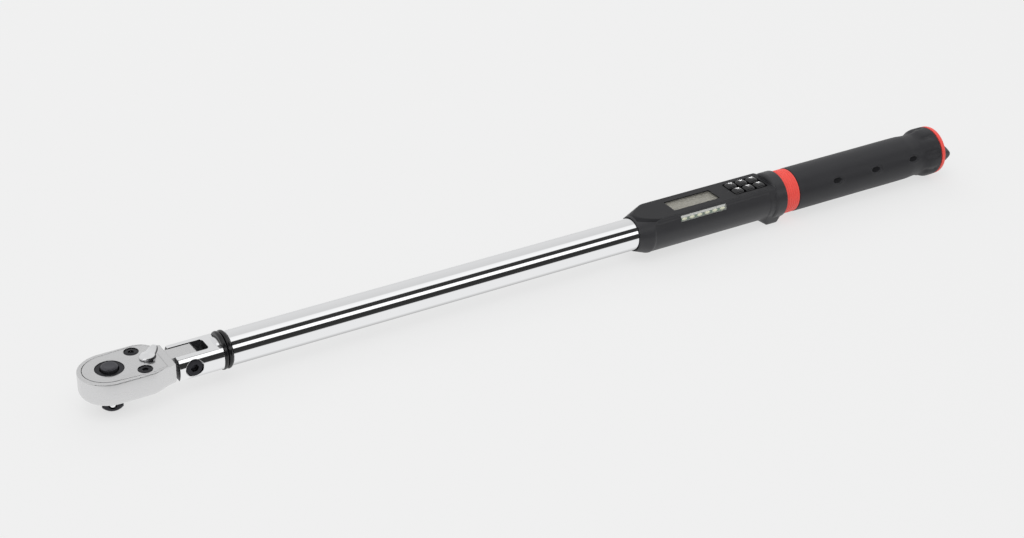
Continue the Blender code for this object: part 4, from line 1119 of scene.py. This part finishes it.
# Degrees above the front horizon, and the brightness seen there in a mirror: dark, strip light,
# dark gap, overhead softbox, then the plain back wall.
BANDS = [(0, 0.03), (19.5, 0.03), (21.5, 1.3), (38.5, 1.3), (40.5, 0.035), (64, 0.035),
         (67, 1.02), (91, 0.95), (98, 0.68), (150, 0.74), (180, 0.7)]


def build_world():
    """Plain to the camera, soft from above for diffuse light, banded in mirrors."""
    world = bpy.data.worlds.new("studio")
    scene.world = world
    world.use_nodes = True
    nodes = Nodes(world.node_tree)
    way = nodes.add("TexCoord").outputs["Generated"]
    split = nodes.add("SeparateXYZ", {0: way})
    toward = nodes.math("MULTIPLY", split.outputs["Y"], -1.0)
    rise = nodes.math("ARCTAN2", split.outputs["Z"], toward)
    ramp = nodes.add("ValToRGB", {0: nodes.math("DIVIDE", rise, math.pi)})
    stops = ramp.color_ramp.elements
    for stop, band in ((stops[0], BANDS[0]), (stops[1], BANDS[-1])):
        stop.color = opaque((band[1],) * 3)
    for angle, value in BANDS[1:-1]:
        stops.new(angle / 180).color = opaque((value,) * 3)
    rays = nodes.add("LightPath")
    soft = nodes.add("MapRange", {"Value": split.outputs["Z"], **limits(-0.2, 1, 0.55, 1.1)})
    light = nodes.mix(rays.outputs["Is Glossy Ray"], soft.outputs[0], ramp.outputs[0])
    seen = nodes.mix(rays.outputs["Is Camera Ray"], light, BACKDROP)
    nodes.feed(world.node_tree.nodes["Background"], {"Color": seen})


def paper_material():
    paper = bpy.data.materials.new("studio_paper")
    paper.use_nodes = True
    nodes = Nodes(paper.node_tree)
    paper.node_tree.nodes.remove(paper.node_tree.nodes["Principled BSDF"])
    diffuse = nodes.add("BsdfDiffuse", {"Color": (0.8, 0.8, 0.8, 1)})
    glow = nodes.add("Emission", {"Color": BACKDROP})
    plain = nodes.add("MixShader", {0: 0.78, 1: diffuse.outputs[0], 2: glow.outputs[0]})
    # In mirrors the paper ends in front of the tool and the dark studio begins. It also carries a
    # painted shadow in a line beneath the tool, which fades in with X. Lengths are in metres.
    place = nodes.add("NewGeometry").outputs["Position"]
    split = nodes.add("SeparateXYZ", {0: place})
    x, y = split.outputs["X"], split.outputs["Y"]
    edge = nodes.add("MapRange", {"Value": y, **limits(-0.115, -0.085, 0.035, 0.86)})
    shadow_line = nodes.add("MapRange", limits(0.006, 0.016, 0.58, 1.0))
    along = nodes.add("MapRange", {"Value": x, **limits(0.03, 0.05, 0.02, 0.0)})
    aside = nodes.math("ABSOLUTE", nodes.math("SUBTRACT", y, 0.003))
    nodes.feed(shadow_line, {"Value": nodes.math("ADD", aside, along.outputs[0])})
    mirrored_light_and_shadow = nodes.math("MULTIPLY", edge.outputs[0], shadow_line.outputs[0])
    mirror = nodes.add("Emission", {"Color": mirrored_light_and_shadow})
    glossy = nodes.add("LightPath").outputs["Is Glossy Ray"]
    final = nodes.add("MixShader", {0: glossy, 1: plain.outputs[0], 2: mirror.outputs[0]})
    nodes.feed(paper.node_tree.nodes["Material Output"], {"Surface": final.outputs[0]})
    return paper


def area_light(name, at, size, watts, target=(0.33, 0, 0.02), glossy=False):
    """A rectangular light aimed at a point, in metres."""
    lamp = bpy.data.lights.new(name, "AREA")
    lamp.shape = "RECTANGLE"
    lamp.size, lamp.size_y = size
    lamp.energy = watts
    obj = bpy.data.objects.new(name, lamp)
    scene.collection.objects.link(obj)
    obj.location = at
    obj.rotation_euler = (Vector(target) - Vector(at)).to_track_quat("-Z", "Y").to_euler()
    obj.visible_glossy = glossy
    return obj


build_world()
floor_draft = bmesh.new()
bmesh.ops.create_grid(floor_draft, x_segments=2, y_segments=2, size=6.0)
floor = from_bmesh(floor_draft, "studio_floor")
floor.location.z = -0.0002
floor.data.materials.append(paper_material())

area_light("key_light", at=(-0.1, -0.5, 1.5), size=(1.2, 0.8), watts=5.0)
area_light("back_light", at=(0.6, 1.1, 0.9), size=(1.2, 0.6), watts=2.5)
# A low spot behind the tool that only the glossy keys mirror.
sparkle = area_light("key_sparkle", at=(1.13, 0.93, 0.39), size=(0.2, 0.2), watts=1.6,
                     target=(0.46, 0, 0.03), glossy=True)
sparkle.visible_diffuse = False
glossy_keys = bpy.data.collections.new("glossy_keys")
for key in KEYS:
    glossy_keys.objects.link(bpy.data.objects[key + "_cap"])
sparkle.light_linking.receiver_collection = glossy_keys

# ---- camera ----------------------------------------------------------------------------------
CAMERA_AT = Vector((-0.3356, -0.9854, 0.6571 + AXIS))
CAMERA_SHIFT = 0.0003  # metres to the camera's left and up
azimuth, elevation, roll = (math.radians(v) for v in (-31.853, 29.586, 1.226))
back = Vector((math.sin(azimuth) * math.cos(elevation), -math.cos(azimuth) * math.cos(elevation),
               math.sin(elevation)))
right = Vector((math.cos(azimuth), math.sin(azimuth), 0.0))
up = back.cross(right)
right, up = (right * math.cos(roll) + up * math.sin(roll),
             up * math.cos(roll) - right * math.sin(roll))
optics = bpy.data.cameras.new("camera")
optics.sensor_width = 36.0
optics.lens = 72.116
optics.clip_start = 0.05
camera = bpy.data.objects.new("camera", optics)
scene.collection.objects.link(camera)
pose = Matrix((right, up, back)).transposed().to_4x4()
pose.translation = CAMERA_AT - right * CAMERA_SHIFT + up * CAMERA_SHIFT
camera.matrix_world = pose
scene.camera = camera
